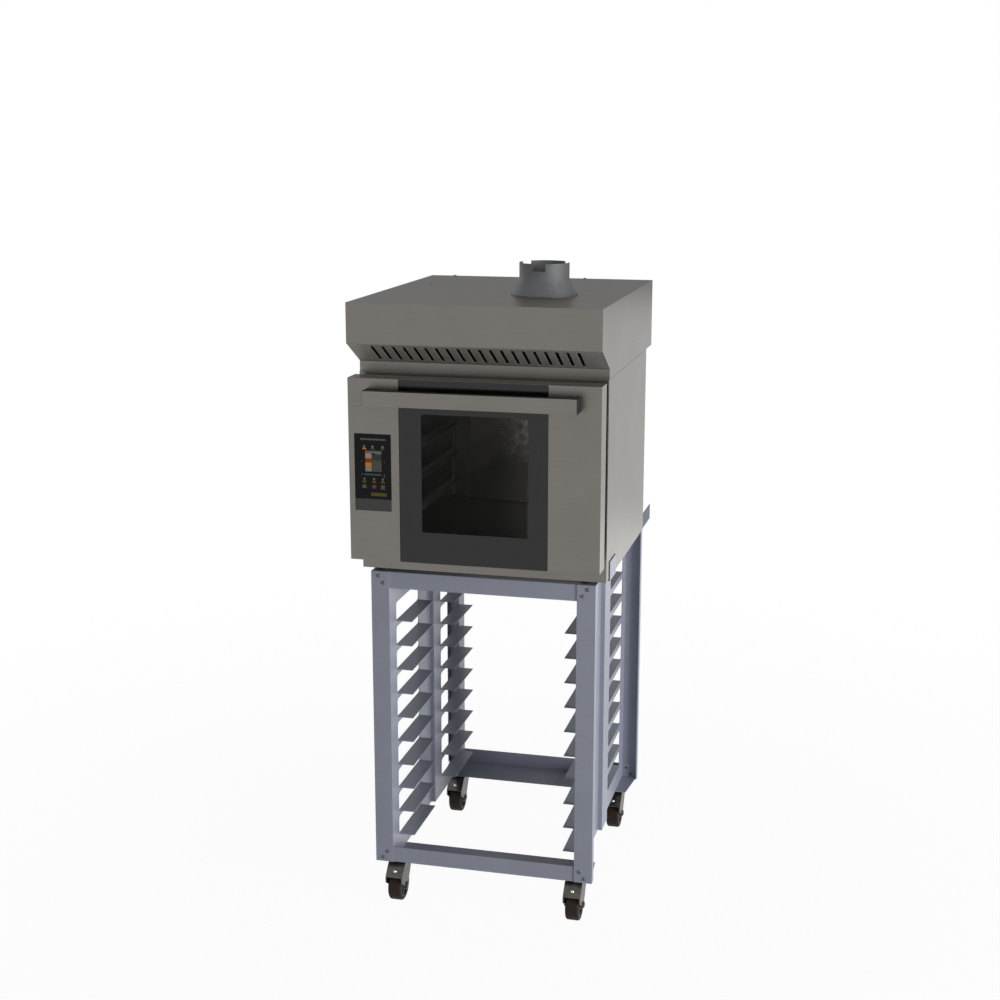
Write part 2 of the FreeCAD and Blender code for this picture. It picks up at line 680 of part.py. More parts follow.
def fan_impeller():
    """Radial impeller: a back plate, straight blades and a bored hub."""
    plate = rod("y", FAN_AXIS, "fan_back - fan_blade", "fan_back", "fan_radius")
    hub = rod("y", FAN_AXIS, "fan_front", "fan_back", "fan_hub")
    blades = []
    for number in range(BLADES):
        blade = box(("0", "fan_radius"), ("fan_front", "fan_back"), ("0", "fan_blade"))
        spin(blade, (0, 1, 0), number * 360 / BLADES)
        blades.append(place(blade, "0", "fan_front", "fan_z"))
    bore = rod("y", FAN_AXIS, "fan_front - margin", "fan_back + margin", "shaft_radius")
    return cut(fuse(plate, hub, *blades), bore)


def fan_motor():
    case = rod("y", FAN_AXIS, "motor_front", "motor_front + motor_length", "motor_radius")
    bore = ("motor_front - margin", "motor_front + shaft_in_motor + margin")
    return cut(case, rod("y", FAN_AXIS, *bore, "shaft_radius + running_clear"))


def heating_element():
    """Tubular heating ring round the fan, with a bushing on each end that goes to the rear wall."""
    middle = "(fan_front + fan_back) / 2"
    height = "fan_z + sqrt(element_radius * element_radius - element_lead * element_lead)"
    torus = doc.addObject("Part::Torus", "ring")
    bind(torus, Radius1="element_radius", Radius2="element_tube")
    turned(torus, "y", FAN_AXIS, middle)
    bushings = []
    for _, side in SIDES:
        centre = (f"{side} * element_lead", height)
        bushings.append(rod("y", centre, f"{middle} - element_bushing", "liner_back", "element_bushing"))
    return fuse(torus, *bushings)


def oven_feet():
    feet = []
    for _, side in SIDES:
        x = f"{side} * (half_oven - foot_side)"
        for y in ("oven_front + foot_inset", "oven_back - foot_inset"):
            feet.append(rod("z", (x, y), "stand_top", "oven_bottom", "foot_radius"))
    return group(*feet)


def cable_gland():
    """Gland for the supply cable: a threaded body with a nut, and a bore right through."""
    inner, outer = "oven_back - 2 * skin", "oven_back + gland_length"
    body = rod("y", GLAND_AXIS, inner, outer, "gland_radius")
    nut = rod("y", GLAND_AXIS, "oven_back", "oven_back + gland_nut_height", "gland_nut")
    bore = rod("y", GLAND_AXIS, f"{inner} - margin", f"{outer} + margin", "gland_bore")
    return cut(fuse(body, nut), bore)


def wall_spacers():
    """Angle brackets on the rear panel, which keep the oven off the wall."""
    pieces = []
    height = ("oven_bottom + spacer_rise", "oven_bottom + spacer_rise + spacer_height")
    for _, side in SIDES:
        flange_x = span(side, "half_oven - spacer_flange", "half_oven")
        flange = box(flange_x, ("oven_back", "oven_back + skin"), height)
        arm_x = span(side, "half_inside", "half_oven")
        arm = box(arm_x, ("oven_back", "oven_back + spacer_length"), height)
        pieces.append(fuse(flange, arm))
    return group(*pieces)


def vent_pipe():
    """Steam pipe from the chamber's ceiling up into the hood."""
    low, high = "cavity_top", "oven_top + vent_rise"
    bore = rod("z", VENT_AXIS, f"{low} - margin", f"{high} + margin", "vent_radius - vent_wall")
    return cut(rod("z", VENT_AXIS, low, high, "vent_radius"), bore)


HINGE_AXIS = ("hinge_y", "hinge_z")


def hinge_brackets():
    plates = []
    for _, side in SIDES:
        near = "pan_half + hinge_plate_gap"
        across = span(side, near, f"{near} + hinge_plate")
        height = ("hinge_z - hinge_below", "hinge_z + hinge_above")
        plate = box(across, ("hinge_y - hinge_below", "oven_front"), height)
        plates.append(cut(plate, rod("x", HINGE_AXIS, *across, "hinge_pin + running_clear")))
    return group(*plates)


node("oven_casing", oven_casing())
node("oven_base", box(
    both("half_inside"), ("oven_front + skin", "oven_back - skin"), ("oven_bottom", "oven_bottom + skin")))
node("oven_back", oven_back())
node("front_panel", front_panel())
node("front_frame", cut(
    border("frame_border", "0", ("frame_front", "oven_front")),
    border("frame_border - skin", "skin", ("frame_front + skin", "oven_front + margin"))))
node("door_gasket", border(
    "gasket_border", "gasket_border - gasket_width", ("door_back + gasket_clear", "frame_front")))
node("cavity_liner", cavity_liner())
node("insulation", insulation())
for name, side in SIDES:
    node("tray_rack_" + name, rack(side))
node("fan_baffle", fan_baffle())
node("heating_element", heating_element())
node("fan_motor", fan_motor())
node("fan_shaft", rod("y", FAN_AXIS, "fan_front", "motor_front + shaft_in_motor", "shaft_radius"))
node("fan_impeller", fan_impeller())
node("oven_feet", oven_feet())
node("cable_gland", cable_gland())
node("wall_spacers", wall_spacers())
node("vent_pipe", vent_pipe())
node("hinge_brackets", hinge_brackets())

# Door

DOOR_Z = ("door_bottom", "door_top")


def control_block(out, y):
    """A block of the control panel's outline, grown or shrunk all round."""
    x = (f"control_x - ({out})", f"control_x + control_width + ({out})")
    return box(x, y, (f"control_bottom - ({out})", f"control_top + ({out})"))


def door_skin(side):
    """Steel front beside the glass, with its folds at the outer edge, the top and the glass."""
    edge = "glass_half + glass_gap"
    deep = ("door_front", "door_back")
    front = box(span(side, edge, "half_oven"), ("door_front", "door_front + skin"), DOOR_Z)
    outer = box(span(side, "half_inside", "half_oven"), deep, DOOR_Z)
    top = box(span(side, "pan_half", "half_oven"), deep, ("door_top - skin", "door_top"))
    inner = box(span(side, edge, f"{edge} + skin"), ("door_front", "glass_back"), DOOR_Z)
    sheet = fuse(front, outer, top, inner)
    if side > 0:
        return sheet
    return cut(sheet, control_block("control_clear", ("door_front - margin", "door_front + skin + margin")))


def door_pan():
    """Inner pan of the door, folded up round its edge, with the window and the hinge pins' holes."""
    outside = box(both("pan_half"), ("glass_back", "door_back"), DOOR_Z)
    inside = box(both("pan_half - skin"), ("glass_back - margin", "door_back - skin"),
                 ("door_bottom + skin", "door_top - skin"))
    window = box(both("window_half"), ("door_back - skin - margin", "door_back + margin"),
                 ("door_bottom + window_bottom", "door_top - window_top"))
    pins = rod("x", HINGE_AXIS, *both("pan_half + margin"), "hinge_pin")
    return cut(outside, inside, window, pins)


def door_handle():
    """Flat bar on two posts, rounded at its outer corners."""
    height = ("handle_bottom", "handle_top")
    rear = "door_front + handle_corner"
    bow = rounded(box(both("handle_half"), ("handle_front", rear), height), "z", "handle_corner")
    gap = box(both("handle_half - handle_post"), ("handle_front + handle_bar", rear), height)
    return cut(bow, gap, box(both("handle_half"), ("door_front", f"{rear} + margin"), height))


def control_housing():
    """Box behind the touch panel, with a lip on the door skin's back and a seat for the panel."""
    inset = "control_clear + housing_inset"
    lip = control_block("control_clear + housing_lip", ("door_front + skin", "panel_back + housing_wall"))
    case = control_block(f"-({inset})", ("panel_back", "housing_back"))
    seat = control_block("control_clear", ("door_front", "panel_back"))
    hollow = control_block(f"-({inset} + housing_wall)", ("door_front", "housing_back - housing_wall"))
    return cut(fuse(lip, case), seat, hollow)


def control_board():
    """Circuit board on four stand-offs in the housing."""
    edge = "control_clear + housing_inset + housing_wall + board_clear"
    floor = "housing_back - housing_wall"
    board = control_block(f"-({edge})", (f"{floor} - board_stand - board_thick", f"{floor} - board_stand"))
    inset = f"{edge} + board_stand"
    stands = []
    for x in (f"control_x + {inset}", f"control_x + control_width - ({inset})"):
        for z in (f"control_bottom + {inset}", f"control_top - ({inset})"):
            stands.append(rod("y", (x, z), f"{floor} - board_stand", floor, "board_stand / 3"))
    return fuse(board, *stands)


def hinge_pins():
    """Pins pressed into the pan, which turn in the hinge brackets."""
    pins = []
    for _, side in SIDES:
        along = span(side, "pan_half - hinge_pin_inner", "pan_half + 2 * hinge_plate_gap + hinge_plate")
        pins.append(rod("x", HINGE_AXIS, *along, "hinge_pin"))
    return group(*pins)


for name, side in SIDES:
    node("door_skin_" + name, door_skin(side))
node("door_pan", door_pan())
node("outer_glass", box(
    both("glass_half"), ("door_front", "glass_back"), ("door_bottom + glass_gap", "door_top - glass_gap")))
node("inner_glass", box(
    both("window_half + inner_glass_lap"), ("door_back - skin - inner_glass_thick", "door_back - skin"),
    ("door_bottom + window_bottom - inner_glass_lap", "door_top - window_top + inner_glass_lap")))
node("door_handle", door_handle())
node("control_panel", control_block("0", ("panel_front", "panel_back")))
node("control_housing", control_housing())
node("control_board", control_board())
node("hinge_pins", hinge_pins())

# Hood


def hood_cheek(name, side):
    """One cheek of the hood: high at the front lip, stepped down to the chin over the door."""
    chin = "chin_front - hood_front"
    corners = [(chin, "0"), ("hood_depth", "0"), ("hood_depth", "hood_height"), ("0", "hood_height"),
               ("0", "lip_z - oven_top"), (chin, "chin_height")]
    low = span(side, "half_inside", "half_oven")[0]
    return pad("hood_cheek_" + name, "YZ_Plane", corners, "skin", (low, "hood_front", "oven_top"))


COLLAR_AXIS = ("collar_x", "collar_y")


def hood_shell():
    """Cheeks, top, front face, back and chin of the hood, with the outlet's hole."""
    across = both("half_oven")
    top = box(across, ("hood_front", "hood_back"), ("hood_top - skin", "hood_top"))
    face = box(across, ("hood_front", "hood_front + skin"), ("lip_z", "hood_top"))
    back = box(across, ("hood_back - skin", "hood_back"), ("oven_top", "hood_top"))
    chin = box(across, ("chin_front", "chin_front + skin"), ("oven_top", "chin_top - chin_clear"))
    through = ("hood_top - skin - margin", "hood_top + margin")
    holes = [rod("z", COLLAR_AXIS, *through, "collar_radius - collar_wall")]
    for spot in hood_bumps():
        holes.append(rod("z", spot, *through, "screw_shank + screw_hole_clear"))
    cheeks = [hood_cheek(name, side) for name, side in SIDES]
    return cut(fuse(top, face, back, chin, *cheeks), *holes)


def hood_floor():
    along = ("chin_front + skin", "hood_back - skin")
    floor = box(both("half_inside"), along, ("oven_top", "hood_floor_top"))
    return cut(floor, vent_hole("oven_top - margin", "hood_floor_top + margin"))


def slot_panel():
    """Sloping intake panel over the door, with a row of slots down the slope."""
    run = "chin_front - hood_front - skin"
    drop = f"slope * ({run})"
    corners = [("0", drop), (run, "0"), (run, "skin"), ("0", f"{drop} + skin")]
    spot = ("-half_inside", "hood_front + skin", "chin_top")
    sheet = pad("slot_sheet", "YZ_Plane", corners, "2 * half_inside", spot)
    along = ("hood_front + slot_front", "chin_front - slot_back")
    slots = []
    for number in range(SLOTS):
        middle = f"({number} - {(SLOTS - 1) / 2}) * slot_pitch"
        slots.append(box(around(middle, "slot_width / 2"), along, ("oven_top", "hood_top")))
    return cut(sheet, *slots)


def exhaust_collar():
    """Outlet spigot: a base ring, a cone and a collar with notches in its rim."""
    base_top = "hood_top + collar_base_height"
    outside = fuse(
        rod("z", COLLAR_AXIS, "hood_top", base_top, "collar_base"),
        cone("z", COLLAR_AXIS, base_top, "collar_neck", "collar_foot", "collar_radius"),
        rod("z", COLLAR_AXIS, "collar_neck", "collar_rim", "collar_radius"))
    through = ("hood_top - margin", "collar_rim + margin")
    tools = [rod("z", COLLAR_AXIS, *through, "collar_radius - collar_wall")]
    for number in range(NOTCHES):
        notch = box(("0", "2 * collar_radius"), ("0", "notch_width"), ("0", "2 * notch_depth"))
        angle = number * 360 / NOTCHES - 90
        spin(notch, (0, 0, 1), angle)
        x = f"collar_x + notch_width / 2 * sin({angle} * 1 deg)"
        y = f"collar_y - notch_width / 2 * cos({angle} * 1 deg)"
        tools.append(place(notch, x, y, "collar_rim - notch_depth"))
    return cut(outside, *tools)


def hood_fan():
    """Extraction impeller on its shaft, under the collar."""
    height = ("hood_fan_bottom", "hood_fan_top")
    plate = rod("z", COLLAR_AXIS, "hood_fan_bottom", "hood_fan_bottom + fan_blade", "hood_fan_radius")
    hub = rod("z", COLLAR_AXIS, *height, "hood_fan_hub")
    shaft = rod("z", COLLAR_AXIS, "hood_motor_top - hood_shaft_in_motor", "hood_fan_top", "hood_shaft")
    blades = []
    for number in range(BLADES):
        blade = box(("0", "hood_fan_radius"), ("0", "fan_blade"), height)
        spin(blade, (0, 0, 1), number * 360 / BLADES)
        blades.append(place(blade, *COLLAR_AXIS, "hood_fan_bottom"))
    return fuse(plate, hub, shaft, *blades)


def hood_motor():
    case = rod("z", COLLAR_AXIS, "hood_floor_top", "hood_motor_top", "hood_motor_radius")
    bore = ("hood_motor_top - hood_shaft_in_motor - margin", "hood_motor_top + margin")
    return cut(case, rod("z", COLLAR_AXIS, *bore, "hood_shaft + running_clear"))


def hood_filter():
    """Grease filter: a rim from cheek to cheek, and a row of upright slats."""
    deep = ("filter_front", "filter_front + filter_thick")
    half = "half_inside - filter_side"
    low, high = "hood_floor_top", "hood_top - skin"
    rim = cut(
        box(both(half), deep, (low, high)),
        box(both(f"{half} - filter_rim"), deep, (f"{low} + filter_rim", f"{high} - filter_rim")))
    centre_y = around("filter_front + filter_thick / 2", "skin")
    slats = []
    for number in range(SLATS):
        middle = f"({number} - {(SLATS - 1) / 2}) * 2 * ({half}) / {SLATS}"
        slats.append(box(around(middle, "filter_slat / 2"), centre_y, (low, high)))
    return fuse(rim, *slats)


node("hood_shell", hood_shell())
node("hood_floor", hood_floor())
node("slot_panel", slot_panel())
node("exhaust_collar", exhaust_collar())
node("hood_filter", hood_filter())
node("hood_fan", hood_fan())
node("hood_motor", hood_motor())

# Check every object, then write every piece

doc.recompute()
for thing in doc.Objects:
    if {"Invalid", "Error"} & set(thing.State):
        raise RuntimeError(f"{thing.Label} failed: {thing.State}")
for thing in NODES:
    if thing.Shape.isNull() or not thing.Shape.isValid():
        raise RuntimeError(f"{thing.Label} has no valid shape")

os.makedirs("parts", exist_ok=True)
for thing in NODES:
    thing.Shape.exportStep(f"parts/{thing.Label}.step")
    print(thing.Label, len(thing.Shape.Solids), round(thing.Shape.Volume))
print(len(NODES), "pieces")
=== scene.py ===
# %% [markdown]
# # A convection oven on a tray stand
#
# This lesson dresses a finished CAD model: a countertop oven with a hood, on a folded sheet-steel stand
# with casters. The CAD pieces give every size and place. Blender adds what a drawing leaves out: rounded
# folds, screw recesses, printed glass, the marks on the control panel, and how each metal takes the light.

# %% Load the frame
import json
from math import cos, pi, radians, sin

import bmesh
import bpy
from mathutils import Matrix, Vector

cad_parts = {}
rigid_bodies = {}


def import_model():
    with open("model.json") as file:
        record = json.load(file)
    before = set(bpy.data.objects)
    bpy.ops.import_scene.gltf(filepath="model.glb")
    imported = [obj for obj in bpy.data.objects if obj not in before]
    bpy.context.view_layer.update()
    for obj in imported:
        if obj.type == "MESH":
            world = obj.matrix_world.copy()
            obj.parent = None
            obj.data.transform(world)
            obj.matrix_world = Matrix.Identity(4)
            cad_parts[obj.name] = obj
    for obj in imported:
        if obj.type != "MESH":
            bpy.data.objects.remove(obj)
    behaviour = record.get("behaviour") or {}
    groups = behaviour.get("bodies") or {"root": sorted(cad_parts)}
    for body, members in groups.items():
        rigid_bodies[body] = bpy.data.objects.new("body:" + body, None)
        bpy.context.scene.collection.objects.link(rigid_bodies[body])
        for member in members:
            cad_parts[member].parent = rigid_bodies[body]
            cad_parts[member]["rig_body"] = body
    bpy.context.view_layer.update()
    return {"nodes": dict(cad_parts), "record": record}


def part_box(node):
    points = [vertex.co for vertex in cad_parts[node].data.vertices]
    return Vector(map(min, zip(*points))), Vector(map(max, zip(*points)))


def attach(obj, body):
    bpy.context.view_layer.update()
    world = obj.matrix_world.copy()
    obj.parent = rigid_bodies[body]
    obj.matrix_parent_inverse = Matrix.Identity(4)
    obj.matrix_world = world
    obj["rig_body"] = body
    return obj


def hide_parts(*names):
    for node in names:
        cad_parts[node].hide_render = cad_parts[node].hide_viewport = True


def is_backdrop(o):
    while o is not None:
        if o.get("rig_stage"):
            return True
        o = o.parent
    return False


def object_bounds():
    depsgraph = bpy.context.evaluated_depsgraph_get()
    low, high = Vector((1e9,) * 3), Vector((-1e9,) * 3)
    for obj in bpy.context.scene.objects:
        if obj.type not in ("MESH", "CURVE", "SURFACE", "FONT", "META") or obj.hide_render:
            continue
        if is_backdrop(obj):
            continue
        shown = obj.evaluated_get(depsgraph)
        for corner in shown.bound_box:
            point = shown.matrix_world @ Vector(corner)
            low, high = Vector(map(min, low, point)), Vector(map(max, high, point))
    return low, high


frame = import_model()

MM = 0.001
nodes = frame["nodes"]
record = frame["record"]
slot_of = {part["node"]: part["material_slot"] for part in record["subparts"]}

# %% [markdown]
# ## Colours and nodes
#
# A colour is written the way a colour picker shows it, as an sRGB hex value. Shaders work in linear light,
# so one function converts it. A second small function adds any node: names in lower case are the node's own
# options, other names and numbers are its sockets, and a socket given as a value becomes a link.

# %% Colour and node helpers


def linear(hex_colour):
    """An sRGB hex colour as linear red, green, blue and alpha."""
    channels = [int(hex_colour[i:i + 2], 16) / 255 for i in (1, 3, 5)]
    return tuple(c / 12.92 if c <= 0.04045 else ((c + 0.055) / 1.055) ** 2.4 for c in channels) + (1.0,)


def add_node(tree, kind, wires):
    node = tree.nodes.new(kind)
    for name, value in wires.items():
        if isinstance(name, str) and name.islower():
            setattr(node, name, value)
        elif isinstance(value, bpy.types.NodeSocket):
            tree.links.new(value, node.inputs[name])
        else:
            node.inputs[name].default_value = value
    return node


def start_material(name, **sockets):
    """A new material, its tree and its shader, with the shader's constant sockets set."""
    made = bpy.data.materials.new(name)
    made.use_nodes = True
    shader = made.node_tree.nodes["Principled BSDF"]
    for socket, value in sockets.items():
        shader.inputs[socket.replace("_", " ")].default_value = value
    return made, made.node_tree, shader


# %% [markdown]
# ## Patterns in real millimetres
#
# A noise texture has one blob per unit, so a blob of so many millimetres needs a scale of 1000 divided by
# that number. Ground steel is drawn with noise that is stretched along the stroke. The strokes run along X
# on faces that look forward, back, up or down, and along Y on the sides, as a sheet is ground before it is
# folded, so the face's own direction chooses between two stretched noises.

# %% Pattern helpers
SIDEWAYS = 0.7
# Noise stays mostly between these two values, so they stand for the ends of a range.
NOISE_LOW = 0.3
NOISE_HIGH = 0.7


def blobs(tree, place, sizes_mm, detail=2.0):
    """Noise with blobs of the given size along X, Y and Z."""
    scale = [1 / (size * MM) for size in sizes_mm]
    moved = add_node(tree, "ShaderNodeMapping", {"Vector": place, "Scale": scale})
    return add_node(tree, "ShaderNodeTexNoise",
                    {"Vector": moved.outputs["Vector"], "Scale": 1.0, "Detail": detail}).outputs["Fac"]


def grinding(tree, place, stroke_mm, width_mm):
    """Stroke marks that follow the sheet, as a value about 0.5."""
    along_x = blobs(tree, place.outputs["Object"], (stroke_mm, width_mm, width_mm))
    along_y = blobs(tree, place.outputs["Object"], (width_mm, stroke_mm, width_mm))
    facing = add_node(tree, "ShaderNodeSeparateXYZ", {"Vector": place.outputs["Normal"]})
    size = add_node(tree, "ShaderNodeMath", {"operation": "ABSOLUTE", 0: facing.outputs["X"]})
    side = add_node(tree, "ShaderNodeMath",
                    {"operation": "GREATER_THAN", 0: size.outputs[0], 1: SIDEWAYS})
    strokes = add_node(tree, "ShaderNodeMix", {"Factor": side.outputs[0], "A": along_x, "B": along_y})
    return strokes.outputs[0]


def tint(tree, shader, pattern, shade, light, start=NOISE_LOW, end=NOISE_HIGH):
    """Lets a pattern move the colour between two tones."""
    share = add_node(tree, "ShaderNodeMapRange", {"Value": pattern, "From Min": start, "From Max": end})
    colour = add_node(tree, "ShaderNodeMix", {"data_type": "RGBA", "Factor": share.outputs[0],
                                              6: linear(shade), 7: linear(light)})
    tree.links.new(colour.outputs[2], shader.inputs["Base Color"])


def roughen(tree, shader, pattern, smoothest, roughest, start=NOISE_LOW, end=NOISE_HIGH):
    """Lets a pattern move the roughness between two values."""
    value = add_node(tree, "ShaderNodeMapRange", {"Value": pattern, "From Min": start, "From Max": end,
                                                  "To Min": smoothest, "To Max": roughest})
    tree.links.new(value.outputs[0], shader.inputs["Roughness"])


# %% [markdown]
# ## Sheet steels
#
# The oven and the hood are stainless steel with a ground satin finish. Grinding leaves fine parallel
# scratches, which blur a reflection and stretch it across the strokes. A hand's wipe marks make broad,
# faint patches that are a little shinier or duller. A shader's anisotropy could stretch the reflection too,
# but drawn scratches also show close up. They are really about 0.1 mm wide. They are drawn 1 mm wide here,
# because a pixel of the picture covers more than 2 mm.

# %% Ground steels
SCRATCH_DEPTH = 0.012 * MM


def ground_steel(name, shade, light, roughness, stroke_mm, width_mm, wipe_mm, metal=1.0):
    made, tree, shader = start_material(name, Metallic=metal)
    place = add_node(tree, "ShaderNodeTexCoord", {})
    strokes = grinding(tree, place, stroke_mm, width_mm)
    wipes = blobs(tree, place.outputs["Object"], (wipe_mm, wipe_mm, wipe_mm), detail=3.0)
    tone = add_node(tree, "ShaderNodeMix", {"Factor": 0.5, "A": strokes, "B": wipes}).outputs[0]
    tint(tree, shader, tone, shade, light)
    roughen(tree, shader, tone, roughness - 0.03, roughness + 0.03)
    relief = add_node(tree, "ShaderNodeBump",
                      {"Height": strokes, "Strength": 1.0, "Distance": SCRATCH_DEPTH})
    tree.links.new(relief.outputs["Normal"], shader.inputs["Normal"])
    return made


# Satin grinding blurs what the steel mirrors into broad, soft bands.
satin_stainless = ground_steel("Stainless_steel_ground_satin", "#726f6a", "#7a7772",
                               roughness=0.33, stroke_mm=90, width_mm=1.0, wipe_mm=120)
# Bead-blasting pits the steel finely, so it scatters light almost as paint does. Its tone, lighter than the
# satin steel, is painted light for the slope in the hood's shade.
slope_stainless = ground_steel("Stainless_bead_blasted_painted_light", "#8a8680", "#95918b",
                               roughness=0.6, stroke_mm=90, width_mm=1.0, wipe_mm=120, metal=0.25)
# Heat leaves the chamber's steel a little dull and warm in tone.
chamber_stainless = ground_steel("Stainless_steel_chamber_heat_dulled", "#8b877e", "#9a968c",
                                 roughness=0.4, stroke_mm=60, width_mm=1.2, wipe_mm=60)
# Pickled rails are even and matt. Their near-white tone is painted light, standing in for light that hardly
# reaches them in the dark chamber.
rail_stainless = ground_steel("Stainless_rails_pickled_painted_light", "#dedad2", "#e8e4dc",
                              roughness=0.6, stroke_mm=60, width_mm=1.2, wipe_mm=60, metal=0.1)
# A polished baffle mirrors the chamber with little blur.
baffle_stainless = ground_steel("Stainless_steel_baffle_polished", "#9c988f", "#a8a49b",
                                roughness=0.22, stroke_mm=60, width_mm=1.2, wipe_mm=60)
# Powder coat is paint, so it isn't metallic: an even cool grey with a soft sheen. The sheet's grain shows.
stand_coat = ground_steel("Powder_coat_cool_grey_on_steel", "#8c909e", "#969aa8",
                          roughness=0.4, stroke_mm=70, width_mm=1.0, wipe_mm=90, metal=0.0)
# The spacers have a duller coat, painted darker than the stand's: painted shade that holds down the key
# lamp's light on them.
spacer_coat = ground_steel("Powder_coat_grey_painted_shade", "#565f69", "#606973",
                           roughness=0.7, stroke_mm=70, width_mm=1.0, wipe_mm=90, metal=0.0)
print("ground steels:", satin_stainless.name, stand_coat.name, chamber_stainless.name)

# %% [markdown]
# Zinc plate and galvanised sheet aren't ground. Plated zinc has a fine even sheen with soft clouds, and
# hot-dip galvanising freezes into flat crystals, the spangle, each of which reflects a little differently.
# A Voronoi texture gives each crystal one tone.

# %% Zinc and galvanised steel
CLOUD_DEPTH = 0.03 * MM


def zinc_plate(name, shade, light, roughness, cloud_mm):
    made, tree, shader = start_material(name, Metallic=1.0)
    place = add_node(tree, "ShaderNodeTexCoord", {})
    clouds = blobs(tree, place.outputs["Object"], (cloud_mm, cloud_mm, cloud_mm), detail=4.0)
    tint(tree, shader, clouds, shade, light)
    roughen(tree, shader, clouds, roughness - 0.07, roughness + 0.07)
    relief = add_node(tree, "ShaderNodeBump",
                      {"Height": clouds, "Strength": 1.0, "Distance": CLOUD_DEPTH})
    tree.links.new(relief.outputs["Normal"], shader.inputs["Normal"])
    return made


def galvanised(name, shade, light, roughness, crystal_mm):
    made, tree, shader = start_material(name, Metallic=1.0)
    place = add_node(tree, "ShaderNodeTexCoord", {})
    crystals = add_node(tree, "ShaderNodeTexVoronoi",
                        {"Vector": place.outputs["Object"], "Scale": 1 / (crystal_mm * MM)})
    tone = add_node(tree, "ShaderNodeSeparateColor", {"Color": crystals.outputs["Color"]}).outputs[0]
    tint(tree, shader, tone, shade, light, start=0, end=1)
    roughen(tree, shader, tone, roughness - 0.05, roughness + 0.05, start=0, end=1)
    return made


# Zinc plate on pressed steel, a clouded grey with a broad sheen. Its dark tone is painted shade, for the
# casters in the shade under the stand.
caster_zinc = zinc_plate("Zinc_plate_painted_shade", "#4a4945", "#5e5c57", roughness=0.35, cloud_mm=14)
# A screw's smooth head shows one light and one dark side.
screw_steel = zinc_plate("Stainless_screw_bright", "#55585f", "#686b73", roughness=0.3, cloud_mm=3)
# A polished rivet is a small bright dot.
rivet_zinc = zinc_plate("Zinc_rivet_polished", "#c9c7c2", "#dcdad5", roughness=0.15, cloud_mm=3)
# The spun collar is matt, with a patchwork of crystals.
collar_galvanised = galvanised("Galvanised_steel_spun_collar", "#5f6061", "#6a6b6c",
                               roughness=0.68, crystal_mm=9)
# Grease darkens the filter's mesh and takes its shine.
filter_mesh = zinc_plate("Aluminium_mesh_grease_darkened", "#2e2c29", "#3a3733", roughness=0.6, cloud_mm=4)
# Die-cast aluminium is pale and finely pitted.
motor_casting = zinc_plate("Aluminium_die_cast", "#7c7c7e", "#97979a", roughness=0.5, cloud_mm=5)
print("plated metals:", caster_zinc.name, screw_steel.name, collar_galvanised.name, motor_casting.name)

# %% [markdown]
# ## Rubber, plastics and glass
#
# Moulded pieces are dielectric: a coloured body under a clear surface with an IOR near 1.5. A mould leaves a
# fine grain, which breaks up the gloss, and each material has its own grain and depth.

# %% Moulded materials


def moulded(name, shade, light, roughness, grain_mm, depth_mm, ior=1.5, gloss=0.5):
    made, tree, shader = start_material(name, IOR=ior, Specular_IOR_Level=gloss)
    place = add_node(tree, "ShaderNodeTexCoord", {})
    grain = blobs(tree, place.outputs["Object"], (grain_mm, grain_mm, grain_mm), detail=5.0)
    tint(tree, shader, grain, shade, light)
    roughen(tree, shader, grain, roughness - 0.08, roughness + 0.08)
    relief = add_node(tree, "ShaderNodeBump",
                      {"Height": grain, "Strength": 1.0, "Distance": depth_mm * MM})
    tree.links.new(relief.outputs["Normal"], shader.inputs["Normal"])
    return made


# Floors scuff a polyurethane tread: dark brown, with almost no shine.
tread_rubber = moulded("Polyurethane_tread_scuffed", "#170e07", "#24170b",
                       roughness=0.65, grain_mm=4, depth_mm=0.08, gloss=0.25)
# A nylon hub is smoother than its tread, and a warm black.
hub_nylon = moulded("Nylon_hub_moulded", "#26231f", "#302c28",
                    roughness=0.5, grain_mm=2, depth_mm=0.03, ior=1.53)
# An extruded silicone seal is soft and matt.
seal_silicone = moulded("Silicone_seal_extruded", "#161616", "#202020",
                        roughness=0.7, grain_mm=3, depth_mm=0.04, ior=1.41)
# ABS from a spark-eroded mould is black with a fine, even grain.
housing_abs = moulded("ABS_moulded_black", "#1d1d1d", "#252525",
                      roughness=0.5, grain_mm=1.5, depth_mm=0.03, ior=1.53)
# Painted shade: a matt black plastic that shows only a faint edge of light, standing in for the shadow
# behind the handle.
grip_plastic = moulded("Black_plastic_painted_handle_shade", "#141414", "#1b1b1b",
                       roughness=0.6, grain_mm=2, depth_mm=0.02, ior=1.6, gloss=0.2)
# The panel's lower piece is a smoother, dark grey ABS.
foot_abs = moulded("ABS_moulded_dark_grey", "#191919", "#1f1f1f",
                   roughness=0.42, grain_mm=2, depth_mm=0.02, ior=1.53)
# A circuit board is glossy green lacquer over a glass weave.
board_lacquer = moulded("Circuit_board_lacquer", "#0f3a1e", "#18502b",
                        roughness=0.35, grain_mm=2, depth_mm=0.02)
# Mineral wool scatters all light: straw-coloured and rough.
stone_wool = moulded("Mineral_wool_blanket", "#8d8560", "#a99f76",
                     roughness=0.95, grain_mm=6, depth_mm=1.5)
print("moulded:", tread_rubber.name, seal_silicone.name, housing_abs.name, foot_abs.name)

# %% [markdown]
# Toughened door glass is clear in the middle. Round the edge a black ceramic ink is fired onto its back, so
# the border looks like deep, glossy black seen through glass. The window's glass is slightly grey, which
# holds the chamber dark. Both have a faint wipe haze, seen only as a change of gloss. Transmission would
# bend the light in the pane, but so thin a pane hardly moves what is behind it, so a low alpha is enough.

# %% Glass
BORDER_HAZE = (70, 70, 40)
WINDOW_HAZE = (90, 90, 60)
GLASS_IOR = 1.52


